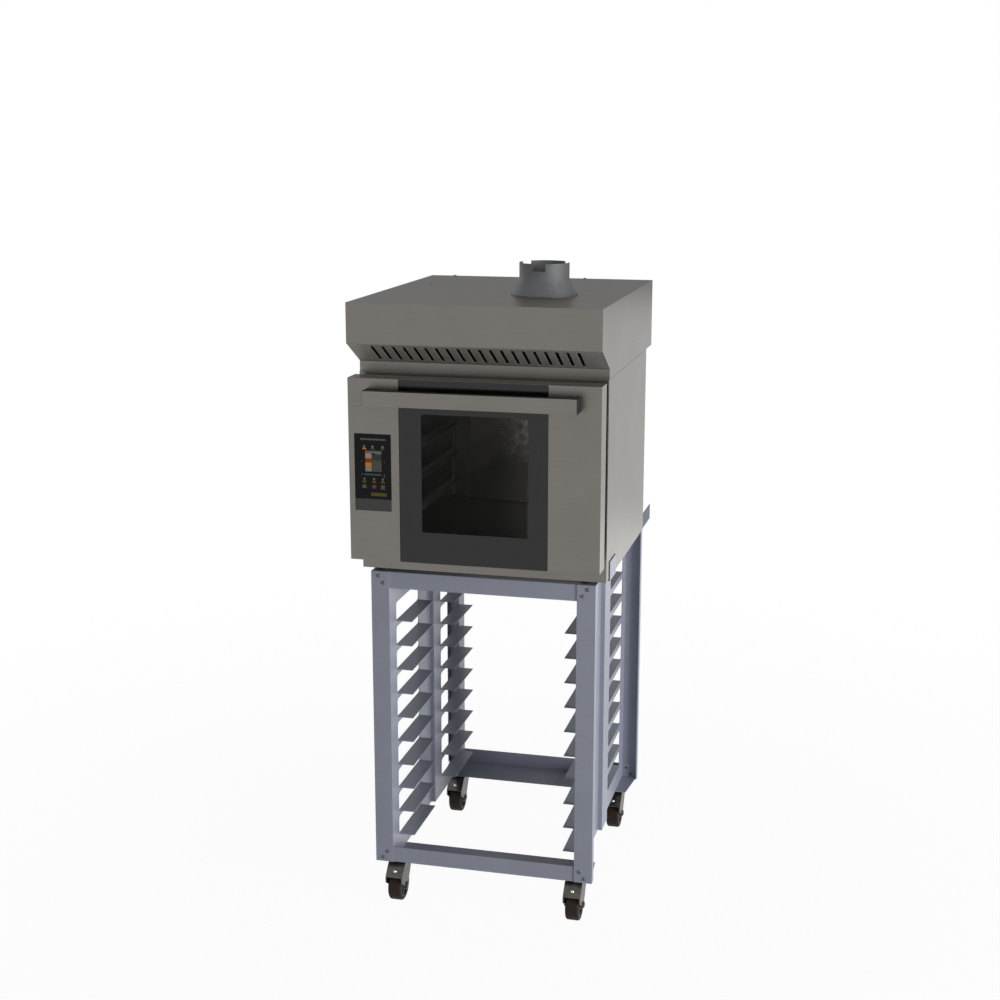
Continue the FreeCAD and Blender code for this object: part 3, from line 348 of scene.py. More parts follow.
def fired_ink(name, shade, light, roughness, gloss):
    made, tree, shader = start_material(name, IOR=GLASS_IOR, Specular_IOR_Level=gloss)
    place = add_node(tree, "ShaderNodeTexCoord", {})
    haze = blobs(tree, place.outputs["Object"], BORDER_HAZE, detail=3.0)
    tint(tree, shader, haze, shade, light)
    roughen(tree, shader, haze, roughness, roughness + 0.12)
    return made


def clear_glass(name, shade, light, cover, gloss):
    made, tree, shader = start_material(name, IOR=GLASS_IOR, Alpha=cover, Specular_IOR_Level=gloss)
    place = add_node(tree, "ShaderNodeTexCoord", {})
    haze = blobs(tree, place.outputs["Object"], WINDOW_HAZE, detail=3.0)
    tint(tree, shader, haze, shade, light)
    roughen(tree, shader, haze, 0.0, 0.04)
    return made


# Ink behind glass is a deep black with a sharp gloss on top.
ink_border = fired_ink("Toughened_glass_black_fired_ink", "#0b0b0b", "#111111", roughness=0.06, gloss=0.4)
# The window's pane covers a fifth of what is behind each face, which holds the chamber dark.
window_glass = clear_glass("Toughened_glass_grey_clear", "#0b0b0a", "#11110f", cover=0.2, gloss=0.15)
# A heat-reflecting film gives the inner pane a faint warm grey.
inner_pane = clear_glass("Heat_reflecting_glass_inner", "#141412", "#1a1a17", cover=0.08, gloss=0.2)
# Touch glass has a matt coat against finger marks.
touch_glass = fired_ink("Touch_glass_black_ink", "#08080a", "#0d0d0f", roughness=0.15, gloss=0.12)
print("glass:", ink_border.name, window_glass.name, inner_pane.name, touch_glass.name)

# %% [markdown]
# ## Dressing the CAD nodes
#
# The record names a finish for every CAD node. Here each finish gets its material, and each node is painted
# with it. Pieces that are built later replace some of these nodes.

# %% Paint every node
finish = {
    "stand_steel": stand_coat, "zinc": caster_zinc, "caster_tread": tread_rubber,
    "screw_steel": screw_steel, "oven_steel": satin_stainless, "chamber_steel": chamber_stainless,
    "collar_steel": collar_galvanised, "motor_alloy": motor_casting, "mineral_wool": stone_wool,
    "seal_rubber": seal_silicone, "border_glass": ink_border, "clear_glass": inner_pane,
    "panel_black": touch_glass, "black_plastic": housing_abs, "board_green": board_lacquer,
}
PLAIN_FINISH = {"hood_filter": filter_mesh, "fan_baffle": baffle_stainless}
for name, node in nodes.items():
    if not node.material_slots:
        node.data.materials.append(None)
    for holder in node.material_slots:
        holder.material = PLAIN_FINISH.get(name, finish[slot_of[name]])
print("painted nodes:", len(nodes))

# %% [markdown]
# ## Opening the caster guards
#
# A caster's fork is pressed from one sheet: two cheeks hold the axle, and a guard slopes over the wheel's
# front. Between the cheeks the guard ends a little above the tread. The CAD fork runs lower there. Moving
# points would bend the cheeks too, so a box is cut away with a Boolean modifier, and the result is kept as a
# plain mesh.

# %% Open the caster guards
GUARD_HALF = 19 * MM
GUARD_DEEP = 16 * MM
GUARD_LIP = 74 * MM
BEYOND = 20 * MM
CORNERS = ("front_left", "front_right", "rear_left", "rear_right")


def without_box(node, start, end):
    """A copy of a node's mesh with a box cut away."""
    work = bmesh.new()
    sizes = Matrix.Diagonal((*(end - start), 1))
    bmesh.ops.create_cube(work, size=1.0, matrix=Matrix.Translation((start + end) / 2) @ sizes)
    knife_mesh = bpy.data.meshes.new("knife")
    work.to_mesh(knife_mesh)
    work.free()
    knife = bpy.data.objects.new("knife", knife_mesh)
    blank = bpy.data.objects.new("blank", nodes[node].data.copy())
    for helper in (knife, blank):
        bpy.context.scene.collection.objects.link(helper)
    cut = blank.modifiers.new("cut", "BOOLEAN")
    cut.operation = "DIFFERENCE"
    cut.solver = "EXACT"
    cut.object = knife
    seen = blank.evaluated_get(bpy.context.evaluated_depsgraph_get())
    mesh = bpy.data.meshes.new_from_object(seen)
    for helper in (knife, blank):
        bpy.data.objects.remove(helper)
    return mesh


shaped = {}
for corner in CORNERS:
    node = "caster_fork_" + corner
    low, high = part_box(node)
    middle = (low.x + high.x) / 2
    shaped[node] = without_box(node, Vector((middle - GUARD_HALF, low.y - BEYOND, low.z - BEYOND)),
                               Vector((middle + GUARD_HALF, low.y + GUARD_DEEP, GUARD_LIP)))
    print(node, "faces before and after:", len(nodes[node].data.polygons), len(shaped[node].polygons))

# %% [markdown]
# ## Folds and edges
#
# A folded sheet has a round bend outside and a cut edge that is only just broken. A CAD solid has sharp
# corners, and a sharp corner catches no light. So each sheet piece is copied, its flat triangles are
# dissolved back into whole faces, and its corners are bevelled: the folds between two wide faces with a
# larger radius than the cut edges. A bevel modifier would need a weight on each edge for that, so the edges
# are sorted and bevelled here.

# %% A dressed copy of a CAD node
SHARP = radians(30)
FLAT = radians(0.5)
CREASE = radians(35)
WELD = 0.002 * MM
BEND_STEPS = 2


def place_piece(piece, body):
    """Links a piece, rides it on a body, and lets its wide faces keep their own direction."""
    bpy.context.scene.collection.objects.link(piece)
    piece.modifiers.new("wide_faces_flat", "WEIGHTED_NORMAL").keep_sharp = True
    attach(piece, body)
    return piece


def smooth_by_angle(mesh):
    """Shades a mesh smooth, apart from its creases and the edges of slivers, which face no way."""
    for face in mesh.polygons:
        face.use_smooth = True
    mesh.set_sharp_from_angle(angle=CREASE)
    points = mesh.vertices
    for face in mesh.polygons:
        outline = sum((points[a].co - points[b].co).length for a, b in face.edge_keys)
        if face.area <= WELD * outline:
            for corner in face.loop_indices:
                mesh.edges[mesh.loops[corner].edge_index].use_edge_sharp = True


def softened(node, cut_mm, fold_mm, wide_mm):
    """A copy of a node with broken cut edges, and rounder folds between faces wider than wide_mm."""
    work = bmesh.new()
    work.from_mesh(shaped.get(node, nodes[node].data))
    bmesh.ops.remove_doubles(work, verts=work.verts, dist=WELD)
    bmesh.ops.dissolve_limit(work, angle_limit=FLAT, verts=work.verts, edges=work.edges)
    for radius, is_fold in ((cut_mm, False), (fold_mm, True)):
        edges = []
        for edge in work.edges:
            length = edge.calc_length()
            if len(edge.link_faces) == 2 and length > 0 and edge.calc_face_angle(0) > SHARP:
                width = min(face.calc_area() for face in edge.link_faces) / length
                if is_fold == (min(width, length) > wide_mm * MM):
                    edges.append(edge)
        if edges:
            bmesh.ops.bevel(work, geom=edges, offset=radius * MM, segments=BEND_STEPS, profile=0.5,
                            affect="EDGES", clamp_overlap=True)
    mesh = bpy.data.meshes.new(node + "_dressed")
    work.to_mesh(mesh)
    work.free()
    mesh.materials.clear()
    mesh.materials.append(finish[slot_of[node]])
    smooth_by_angle(mesh)
    piece = bpy.data.objects.new(node + "_dressed", mesh)
    place_piece(piece, nodes[node]["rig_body"])
    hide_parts(node)
    return piece


# %% Dress the sheet pieces
# The broken edge, the fold's radius and the least width of a folded face, all in mm.
SHEET_PIECES = {
    (0.4, 1.0, 8): ["stand_side_left", "stand_side_right", "ledges_left", "ledges_right", "top_rail_front",
                    "top_rail_rear", "bottom_rail_front", "bottom_rail_rear", "locating_brackets"],
    (0.4, 1.2, 12): ["hood_shell", "oven_casing", "front_panel", "front_frame", "door_skin_left",
                     "door_skin_right", "wall_spacers"],
    (0.6, 1.2, 8): ["door_handle"],
    (0.3, 0.8, 6): ["slot_panel", "oven_back", "tray_rack_left", "tray_rack_right", "door_pan",
                    "hinge_brackets", "caster_plates"],
    (1.0, 2.0, 6): ["door_gasket", "control_housing"],
    (0.5, 1.0, 5): ["exhaust_collar"] + [name for name in nodes if "caster_fork" in name],
}
# The slope and the rails get lighter copies of the steel, which are painted light. The spacers get a darker
# copy of the coat, which is painted shade.
OWN_FINISH = {"slot_panel": slope_stainless, "wall_spacers": spacer_coat,
              "tray_rack_left": rail_stainless, "tray_rack_right": rail_stainless}
for (cut_edge, fold, wide), names in SHEET_PIECES.items():
    for name in names:
        made = softened(name, cut_edge, fold, wide)
        made.data.materials[0] = OWN_FINISH.get(name, finish[slot_of[name]])
        print(made.name, len(made.data.polygons), "faces")

# %% [markdown]
# The handle is one piece here. The faces that look forward keep the steel. All its other faces get a matt
# black plastic, which paints the shadow that lies behind and above the handle.

# %% Handle with painted shade
FORWARD = -0.9
handle = bpy.data.objects["door_handle_dressed"].data
handle.materials.append(grip_plastic)
# Every face but the front ones turns black: painted shade behind, above and at the ends of the handle.
for face in handle.polygons:
    face.material_index = 0 if face.normal.y < FORWARD else 1
print("grip faces:", sum(face.material_index for face in handle.polygons))

# %% [markdown]
# ## Mesh from rings
#
# Most small pieces here are rings of points joined by four-sided faces: a screw is a run of circles that
# ends in a six-sided recess, a wheel is a run of circles that closes on itself, and a glass plate is a run
# of rectangles with round corners. So two functions give rings and one joins them.

# %% Rings


def rounded_outline(left, right, bottom, top, corner, steps=4):
    """Points round a rectangle with round corners, as seen from the front."""
    corners = [(right - corner, top - corner), (left + corner, top - corner),
               (left + corner, bottom + corner), (right - corner, bottom + corner)]
    points = []
    for turn, (x, z) in enumerate(corners):
        for step in range(steps + 1):
            angle = pi / 2 * (turn + step / steps)
            points.append((x + corner * cos(angle), z + corner * sin(angle)))
    return points


def facing_front(outline, y):
    return [Vector((x, y, z)) for x, z in outline]


def ring_round(origin, axis, along_mm, radius_mm, corners=0, sides=48):
    """A ring of points round an axis: a circle, or a polygon with so many corners."""
    across = axis.orthogonal().normalized()
    up = axis.cross(across)
    points = []
    for i in range(sides):
        angle = 2 * pi * i / sides
        reach = radius_mm * MM
        if corners:
            half = pi / corners
            reach *= cos(half) / cos(angle % (2 * half) - half)
        points.append(origin + axis * along_mm * MM + (across * cos(angle) + up * sin(angle)) * reach)
    return points


def skin(work, rings, closed=False, material=0):
    """Joins rings with four-sided faces. An open run gets a cap on each end, last in the list."""
    loops = [[work.verts.new(point) for point in ring] for ring in rings]
    runs = list(zip(loops, loops[1:]))
    if closed:
        runs.append((loops[-1], loops[0]))
    made = []
    for first, second in runs:
        for i in range(len(first)):
            made.append(work.faces.new((first[i - 1], first[i], second[i], second[i - 1])))
    if not closed:
        made += [work.faces.new(loops[0]), work.faces.new(loops[-1])]
    for face in made:
        face.material_index = material
    return made


def finished_piece(work, name, materials, like, replaced=()):
    """Turns a bmesh into a piece that rides with the node it is like."""
    bmesh.ops.recalc_face_normals(work, faces=work.faces)
    mesh = bpy.data.meshes.new(name)
    work.to_mesh(mesh)
    work.free()
    for material in materials:
        mesh.materials.append(material)
    smooth_by_angle(mesh)
    piece = place_piece(bpy.data.objects.new(name, mesh), nodes[like]["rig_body"])
    if replaced:
        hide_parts(*replaced)
    print(name, len(mesh.polygons), "faces")
    return piece


# %% [markdown]
# ## The door's outer glass
#
# One toughened pane covers the middle of the door from its top to its bottom. Its border is inked black and
# its middle is clear. The plate is one closed mesh. Its clear middle is the cap at each end of the run of
# rings, so the window has a true thickness and a reflection on each face.

# %% Outer glass
GLASS_EDGE = 0.8 * MM
GLASS_CORNER = 2 * MM
WINDOW_CORNER = 4 * MM
WINDOW_LEFT = 54 * MM
WINDOW_RIGHT = 46.5 * MM
WINDOW_LOW = 75 * MM
WINDOW_HIGH = 79 * MM

low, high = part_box("outer_glass")
pane = rounded_outline(low.x, high.x, low.z, high.z, GLASS_CORNER)
pane_face = rounded_outline(low.x + GLASS_EDGE, high.x - GLASS_EDGE, low.z + GLASS_EDGE,
                            high.z - GLASS_EDGE, GLASS_CORNER)
window = rounded_outline(low.x + WINDOW_LEFT, high.x - WINDOW_RIGHT, low.z + WINDOW_LOW,
                         high.z - WINDOW_HIGH, WINDOW_CORNER)
work = bmesh.new()
faces = skin(work, [facing_front(window, high.y), facing_front(pane, high.y),
                    facing_front(pane, low.y + GLASS_EDGE), facing_front(pane_face, low.y),
                    facing_front(window, low.y)])
for cap in faces[-2:]:
    cap.material_index = 1
finished_piece(work, "outer_glass_plate", [ink_border, window_glass], "outer_glass", ["outer_glass"])

# %% [markdown]
# ## The fan's intake screen
#
# A fine wire screen behind the baffle's holes keeps crumbs out of the fan. Its wires are about 0.5 mm thick,
# far too fine for a pixel, so it is a thin disc with a weave of 3 mm in its colour and its bump.

# %% Intake screen
SCREEN_RADIUS = 70
SCREEN_FRONT = 0.2
SCREEN_BACK = 1.0
SHEET = 1.5 * MM
Y_AXIS = Vector((0, 1, 0))

# A woven screen glints in many small points, so from afar it is a light, even grey.
wire_screen = ground_steel("Stainless_steel_wire_screen_woven", "#7f7b74", "#918d85",
                           roughness=0.3, stroke_mm=3, width_mm=3, wipe_mm=3)
low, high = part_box("fan_baffle")
wheel_low, wheel_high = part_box("fan_impeller")
hub = (wheel_low + wheel_high) / 2
hub.y = low.y + SHEET
work = bmesh.new()
skin(work, [ring_round(hub, Y_AXIS, along, SCREEN_RADIUS) for along in (SCREEN_FRONT, SCREEN_BACK)])
finished_piece(work, "intake_screen", [wire_screen], "fan_baffle")

# %% [markdown]
# ## The control panel
#
# The panel is a black touch glass with a dark grey plastic piece below it, both with slightly round
# corners. The marks on it are lit from behind: plain bars, discs and tiles. An image could show them, but
# thin prints, raised by a tenth of a millimetre, stay sharp close up.

# %% Touch glass and its lower piece
PANEL_EDGE = 0.5 * MM
PANEL_CORNER = 3 * MM
FOOT_SHARE = 0.155
FOOT_GAP = 0.4 * MM
MARK_RAISE = 0.1 * MM

panel_low, panel_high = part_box("control_panel")
foot_top = panel_low.z + FOOT_SHARE * (panel_high.z - panel_low.z)


def front_plate(name, bottom, top, material):
    """A plate of the panel's width, a mark's height behind the panel's front."""
    full = rounded_outline(panel_low.x, panel_high.x, bottom, top, PANEL_CORNER)
    face = rounded_outline(panel_low.x + PANEL_EDGE, panel_high.x - PANEL_EDGE, bottom + PANEL_EDGE,
                           top - PANEL_EDGE, PANEL_CORNER - PANEL_EDGE)
    plate = bmesh.new()
    skin(plate, [facing_front(full, panel_high.y),
                 facing_front(full, panel_low.y + PANEL_EDGE + MARK_RAISE),
                 facing_front(face, panel_low.y + MARK_RAISE)])
    return finished_piece(plate, name, [material], "control_panel", ["control_panel"])


front_plate("touch_panel", foot_top + FOOT_GAP, panel_high.z, touch_glass)
front_plate("touch_panel_foot", panel_low.z, foot_top, foot_abs)

# %% [markdown]
# Each mark's place is a share of the panel's width from its left edge and of its height from its top edge.
# A print has a fine dot screen, drawn as noise 1 mm across, and a little light of its own.

# %% Marks on the panel


def backlit(name, shade, light, glow):
    made, tree, shader = start_material(name, IOR=1.5, Roughness=0.4, Specular_IOR_Level=0.2,
                                        Emission_Strength=glow, Emission_Color=linear(light))
    place = add_node(tree, "ShaderNodeTexCoord", {})
    dots = blobs(tree, place.outputs["Object"], (1.0, 1.0, 1.0))
    tint(tree, shader, dots, shade, light)
    return made


# Ink lit from behind keeps its colour in the dark and has little gloss.
PRINTS = {
    "white": backlit("Backlit_print_white", "#6e6c68", "#7c7a76", 0.04),
    "grey": backlit("Backlit_print_grey", "#4f4f4f", "#5c5c5c", 0.03),
    "header": backlit("Display_header_slate", "#56606d", "#626c79", 0.12),
    "pale": backlit("Display_tile_pale", "#a07762", "#b08670", 0.15),
    "ice": backlit("Display_tile_ice", "#6f7a7d", "#7e898c", 0.12),
    "rust": backlit("Display_tile_rust", "#5f3519", "#6e3f20", 0.12),
    "orange": backlit("Display_tile_orange", "#a86a1c", "#b97824", 0.2),
    "moss": backlit("Display_tile_moss", "#2b2d24", "#34362c", 0.05),
    "slate": backlit("Display_tile_slate", "#45443f", "#504f49", 0.06),
    "olive": backlit("Backlit_print_olive", "#4f4514", "#5b5019", 0.05),
    "rose": backlit("Backlit_print_rose", "#5e3740", "#69414a", 0.06),
    "teal": backlit("Backlit_print_teal", "#4b5452", "#565f5d", 0.05),
}
marks = {name: bmesh.new() for name in PRINTS}
panel_size = panel_high - panel_low


def raised(print_name, outline):
    """A thin print on the panel from an outline in shares of the panel."""
    spot = [(panel_low.x + u * panel_size.x, panel_high.z - v * panel_size.z) for u, v in outline]
    back = facing_front(spot, panel_low.y + 2 * MARK_RAISE)
    skin(marks[print_name], [back, facing_front(spot, panel_low.y)])


def bar(print_name, left, top, right, bottom):
    raised(print_name, [(left, top), (right, top), (right, bottom), (left, bottom)])


def disc(print_name, u, v, radius, sides=20, turn=0.0, shape=1.0):
    ring = [(cos(turn + 2 * pi * i / sides), sin(turn + 2 * pi * i / sides)) for i in range(sides)]
    tall = panel_size.x / panel_size.z
    raised(print_name, [(u + radius * x, v + radius * tall * shape * z) for x, z in ring])


def bowl(print_name, u, top, bottom, wide, narrow):
    """A mark that is wider at its foot than at its top."""
    raised(print_name, [(u - narrow, top), (u + narrow, top), (u + wide, bottom), (u - wide, bottom)])


bar("grey", 0.167, 0.056, 0.862, 0.08)
for u, base in ((0.274, "orange"), (0.5, "olive"), (0.775, "olive")):
    disc("white", u, 0.163, 0.033, sides=12)
    bowl(base, u, 0.18, 0.2, 0.065, 0.03)
bar("header", 0.295, 0.218, 0.741, 0.246)
bar("white", 0.56, 0.248, 0.741, 0.258)
bar("moss", 0.475, 0.262, 0.741, 0.338)
bar("slate", 0.475, 0.352, 0.741, 0.486)
bar("grey", 0.475, 0.34, 0.741, 0.35)
for top, bottom, name in ((0.25, 0.318, "pale"), (0.32, 0.368, "rust"), (0.37, 0.425, "orange"),
                          (0.427, 0.486, "ice")):
    bar(name, 0.295, top, 0.467, bottom)
disc("grey", 0.2, 0.357, 0.02, sides=3, turn=pi)
disc("grey", 0.82, 0.357, 0.025, sides=3)
bar("grey", 0.26, 0.518, 0.73, 0.535)
disc("grey", 0.2, 0.526, 0.02)
bar("grey", 0.8, 0.515, 0.825, 0.56)
for u, base, low_name in ((0.26, "olive", "teal"), (0.53, "olive", "rose"), (0.77, "olive", "teal")):
    disc("white", u, 0.585, 0.026, sides=12, shape=1.2)
    bowl(base, u, 0.605, 0.635, 0.06, 0.035)
    bowl(low_name, u, 0.662, 0.705, 0.055, 0.05)
bar("olive", 0.7, 0.712, 0.83, 0.72)
bar("olive", 0.44, 0.762, 0.87, 0.806)
for name, work in marks.items():
    finished_piece(work, "panel_mark_" + name, [PRINTS[name]], "control_panel")

# %% [markdown]
# ## Screws
#
# The stand is held by pan-head screws with a six-sided recess, and four more sit on the hood. Their places
# are read from the CAD node: each loose solid in it is one screw, which is longest along its own axis. The
# recess could be cut by a Boolean, but rings that step back into the head give cleaner faces.

# %% Screws


def loose_boxes(node):
    """The lowest and highest corner of each separate solid in a node, in a fixed order."""
    work = bmesh.new()
    work.from_mesh(nodes[node].data)
    bmesh.ops.remove_doubles(work, verts=work.verts, dist=WELD)
    waiting = set(work.verts)
    boxes = []
    while waiting:
        reach = [waiting.pop()]
        group = []
        while reach:
            vert = reach.pop()
            group.append(vert.co.copy())
            for edge in vert.link_edges:
                other = edge.other_vert(vert)
                if other in waiting:
                    waiting.discard(other)
                    reach.append(other)
        boxes.append((Vector(map(min, zip(*group))), Vector(map(max, zip(*group)))))
    work.free()
    return sorted(boxes, key=lambda box: [round(value, 5) for value in box[0]])


HEAD_HEIGHT = 2.4
# Each ring's place along the screw and its radius in mm, and its corners, if it isn't a circle.
SCREW_RUN = [(-7, 2.5, 0), (0, 2.5, 0), (0, 4.5, 0), (0.7, 4.5, 0), (1.6, 4.1, 0), (2.2, 3.2, 0),
             (2.4, 2.5, 0), (2.4, 2.1, 6), (1.0, 2.0, 6)]
SCREW_SIDES = 24
screw_work = bmesh.new()
for low, high in loose_boxes("screws"):
    size = high - low
    centre = (low + high) / 2
    along = max(range(3), key=lambda i: size[i])
    axis = Vector((0, 0, 0))
    axis[along] = -1 if along == 1 and centre.y < 0 else 1
    seat = centre + axis * (size[along] / 2 - HEAD_HEIGHT * MM)
    skin(screw_work, [ring_round(seat, axis, height, radius, corners, SCREW_SIDES)
                      for height, radius, corners in SCREW_RUN])
finished_piece(screw_work, "pan_head_screws", [screw_steel], "screws", ["screws"])

# %% [markdown]
# ## Casters
#
# A caster wheel is a nylon hub with ribs and a polyurethane tread moulded round it. Its outline is drawn
# once from the bore to the tread and mirrored, then turned round the axle. The axle is a bolt with a
# six-sided head and a lock nut. A polished rivet sits on the slope of the fork's guard.

# %% Wheels
X_AXIS = Vector((1, 0, 0))
WHEEL_HALF = [(17, 5.05), (17, 12), (16.2, 13), (12.4, 13.4), (12, 14), (12, 26), (12.4, 26.8),
              (16.4, 27.6), (17, 28.4), (17, 29.6), (16.5, 30), (17, 30.4), (17, 35), (16.6, 36.9),
              (15.5, 38.5), (13.9, 39.6), (12, 40)]
WHEEL_SIDES = 72
HUB_RADIUS = 30 * MM
RIBS = 6
RIB_REACH = (12.6, 27.2)
RIB_OUTLINE = ((11.5, -1.3), (15.6, -1.3), (15.6, 1.3), (11.5, 1.3))


def middle_of(node):
    low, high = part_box(node)
    return (low + high) / 2


def ribbed_wheel(corner):
    node = "caster_wheel_" + corner
    centre = middle_of(node)
    outline = WHEEL_HALF + [(-along, radius) for along, radius in reversed(WHEEL_HALF)]
    work = bmesh.new()
    skin(work, [ring_round(centre, X_AXIS, along, radius, 0, WHEEL_SIDES) for along, radius in outline],
         closed=True)
    for face in work.faces:
        off = face.calc_center_median() - centre
        face.material_index = 0 if Vector((off.y, off.z)).length > HUB_RADIUS else 1
    for face_side in (-1, 1):
        for rib in range(RIBS):
            angle = 2 * pi * rib / RIBS
            out = Vector((0, cos(angle), sin(angle)))
            across = Vector((0, -sin(angle), cos(angle)))
            skin(work, [[centre + (out * reach + X_AXIS * face_side * tall + across * half) * MM
                         for tall, half in RIB_OUTLINE] for reach in RIB_REACH], material=1)
    finished_piece(work, "wheel_" + corner, [tread_rubber, hub_nylon], node, [node])


# %% Axle bolts and rivets
AXLE_RUN = [(-26, 6.2, 0), (-25.3, 8.5, 6), (-22, 8.5, 6), (-22, 5, 0), (22, 5, 0), (22, 8.5, 6),
            (24.6, 8.5, 6), (25.1, 6.4, 0), (25.1, 4.7, 0), (26, 4.2, 0)]
RIVET_RUN = [(-1.0, 4.4), (0, 4.4), (1.0, 4.0), (1.8, 2.8), (2.2, 1.2)]
RIVET_SIDES = 24
RIVET_SHARE = 0.43
GUARD_FACE_TOP = 75 * MM
GUARD_BACK = 27 * MM
RACE = 7 * MM


def axle_bolt(corner):
    node = "caster_axle_" + corner
    centre = middle_of(node)
    work = bmesh.new()
    skin(work, [ring_round(centre, X_AXIS, along, radius, corners) for along, radius, corners in AXLE_RUN])
    finished_piece(work, "axle_bolt_" + corner, [caster_zinc], node, [node])


def guard_rivet(corner):
    node = "caster_fork_" + corner
    low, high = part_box(node)
    slope = Vector((0, GUARD_BACK, high.z - RACE - GUARD_FACE_TOP))
    seat = Vector(((low.x + high.x) / 2, low.y, GUARD_FACE_TOP)) + RIVET_SHARE * slope
    out = X_AXIS.cross(slope).normalized()
    work = bmesh.new()
    skin(work, [ring_round(seat, out, along, radius, 0, RIVET_SIDES) for along, radius in RIVET_RUN])
    finished_piece(work, "guard_rivet_" + corner, [rivet_zinc], node)


for corner in CORNERS:
    ribbed_wheel(corner)
    axle_bolt(corner)
    guard_rivet(corner)

# %% [markdown]
# ## The studio
#
# The picture has a white ground and soft light. The floor and the sky look white to the camera, and to
# mirror and glass rays, so metal reflects what the eye expects. Only part of the floor's white is its own,
# so that it still shows the shadow under the stand.

# %% World
SKY_LIGHT = 0.17
scene = bpy.context.scene
scene.view_settings.view_transform = "Standard"


def seen_directly(tree):
    """1 for rays from the camera, from a mirror or through glass."""
    path = add_node(tree, "ShaderNodeLightPath", {})
    seen = add_node(tree, "ShaderNodeMath", {"operation": "MAXIMUM", 0: path.outputs["Is Camera Ray"],
                                             1: path.outputs["Is Glossy Ray"]})
    seen = add_node(tree, "ShaderNodeMath", {"operation": "MAXIMUM", 0: seen.outputs[0],
                                             1: path.outputs["Is Transmission Ray"]})
    return seen.outputs[0]


world = bpy.data.worlds.new("Studio")
scene.world = world
world.use_nodes = True
sky = world.node_tree
sky.nodes.clear()
lighting = add_node(sky, "ShaderNodeBackground", {"Color": linear("#f4f6fa"), "Strength": SKY_LIGHT})
white = add_node(sky, "ShaderNodeBackground", {"Color": linear("#ffffff"), "Strength": 1.0})
choice = add_node(sky, "ShaderNodeMixShader",
                  {0: seen_directly(sky), 1: lighting.outputs[0], 2: white.outputs[0]})
add_node(sky, "ShaderNodeOutputWorld", {"Surface": choice.outputs[0]})
print("world:", world.name, "nodes", len(sky.nodes))

# %% Floor
FLOOR_HALF = 30.0
OWN_NEAR = 0.955
OWN_FAR = 1.0
NEAR = 0.8
FAR = 3.0


def studio_sheet(name, corners, material):
    """A four-cornered sheet that belongs to the studio and not to the oven."""
    mesh = bpy.data.meshes.new(name)
    mesh.from_pydata(corners, [], [(0, 1, 2, 3)])
    mesh.materials.append(material)
    sheet = bpy.data.objects.new(name, mesh)
    scene.collection.objects.link(sheet)
    sheet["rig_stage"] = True
    return sheet


# White paper is matt. Its own share of light grows with the distance, so the shadow fades out.
paper, tree, shader = start_material("Studio_paper_white", Roughness=0.9)
shader.inputs["Base Color"].default_value = linear("#e9e9e9")
place = add_node(tree, "ShaderNodeTexCoord", {})
away = add_node(tree, "ShaderNodeVectorMath", {"operation": "LENGTH", 0: place.outputs["Object"]})
own = add_node(tree, "ShaderNodeMapRange", {"Value": away.outputs["Value"], "From Min": NEAR,
                                            "From Max": FAR, "To Min": OWN_NEAR, "To Max": OWN_FAR})
own_seen = add_node(tree, "ShaderNodeMath",
                    {"operation": "MULTIPLY", 0: own.outputs[0], 1: seen_directly(tree)})
glow = add_node(tree, "ShaderNodeEmission", {"Color": linear("#ffffff"), "Strength": 1.0})
both = add_node(tree, "ShaderNodeMixShader",
                {0: own_seen.outputs[0], 1: shader.outputs[0], 2: glow.outputs[0]})
tree.links.new(both.outputs[0], tree.nodes["Material Output"].inputs["Surface"])
floor = studio_sheet("studio_floor", [(-FLOOR_HALF, -FLOOR_HALF, 0), (FLOOR_HALF, -FLOOR_HALF, 0),
                                      (FLOOR_HALF, FLOOR_HALF, 0), (-FLOOR_HALF, FLOOR_HALF, 0)], paper)
print("floor:", floor.name)

# %% [markdown]
# Steel seen at a low angle mirrors almost all that it faces. The sides face the white floor and look
# bright. The hood's top and the ledges face the far wall, so a photographer hangs a dark cloth there, a
# flag, to keep them from glaring. Only mirror rays see it: it throws no shadow and stays out of the picture.

# %% A grey flag
FLAG_LEFT, FLAG_RIGHT = -3.4, 2.0
FLAG_BACK = 3.0
FLAG_LOW, FLAG_HIGH = 1.2, 4.2
FLAG_GLOW = 0.3

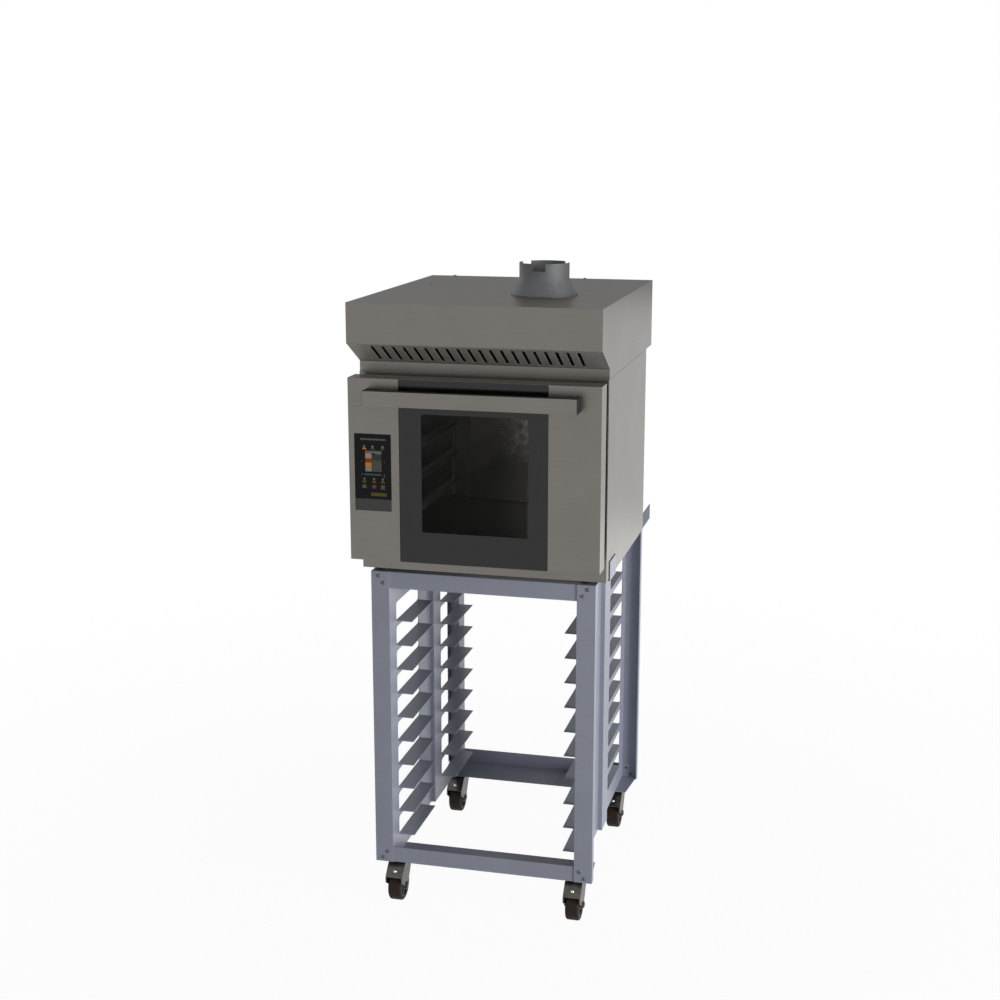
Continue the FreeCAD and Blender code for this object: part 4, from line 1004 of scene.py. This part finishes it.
# Felt is matt. It has a little light of its own, so that steel which faces it is grey and not black.
felt, _, shader = start_material("Studio_felt_grey", Roughness=1.0, Emission_Strength=FLAG_GLOW,
                                 Emission_Color=linear("#ffffff"))
shader.inputs["Base Color"].default_value = linear("#303030")
flag = studio_sheet("studio_flag", [(FLAG_LEFT, FLAG_BACK, FLAG_LOW), (FLAG_RIGHT, FLAG_BACK, FLAG_LOW),
                                    (FLAG_RIGHT, FLAG_BACK, FLAG_HIGH), (FLAG_LEFT, FLAG_BACK, FLAG_HIGH)],
                    felt)
for ray in ("camera", "diffuse", "transmission", "shadow"):
    setattr(flag, "visible_" + ray, False)
print("flag:", flag.name)

# %% [markdown]
# A large key lamp stands at the right, low enough to leave the ledges dark. A small lamp low behind lifts
# the foot of the right side, and a fill lamp lights the sides that the camera doesn't see.

# %% Lamps


def soft_lamp(name, spot, target, size, watts):
    """A round area lamp that looks at a point."""
    data = bpy.data.lights.new(name, "AREA")
    data.shape = "DISK"
    data.size = size
    data.energy = watts
    lamp = bpy.data.objects.new(name, data)
    lamp.location = spot
    lamp.rotation_euler = (Vector(target) - Vector(spot)).to_track_quat("-Z", "Y").to_euler()
    scene.collection.objects.link(lamp)
    print(name, watts, "W")


MIDDLE = (0, 0, 0.9)
RIGHT_SIDE = (0.3, 0, 0.8)
soft_lamp("key_lamp", spot=(6.9, -3.1, 1.6), target=MIDDLE, size=3.2, watts=470)
soft_lamp("low_side_lamp", spot=(0.95, 2.4, 0.12), target=RIGHT_SIDE, size=0.5, watts=0.8)
soft_lamp("fill_lamp", spot=(-5.0, 3.0, 2.2), target=MIDDLE, size=3.0, watts=45)

# %% [markdown]
# ## The camera
#
# The camera stands where the picture was taken from: in front, a little to the right, and looking down.

# %% Camera
LENS = 58.58
SENSOR = 36.0
LOOK_DOWN = radians(13.02)
LOOK_LEFT = radians(14.0)
camera = bpy.data.objects.new("camera", bpy.data.cameras.new("camera"))
camera.data.sensor_width = SENSOR
camera.data.lens = LENS
camera.data.clip_end = 200.0
camera.location = (0.94776, -3.90387, 1.92872)
camera.rotation_euler = (pi / 2 - LOOK_DOWN, 0, LOOK_LEFT)
scene.collection.objects.link(camera)
scene.camera = camera
print("camera:", camera.data.lens, "mm lens")

# %% Sizes
low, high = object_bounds()
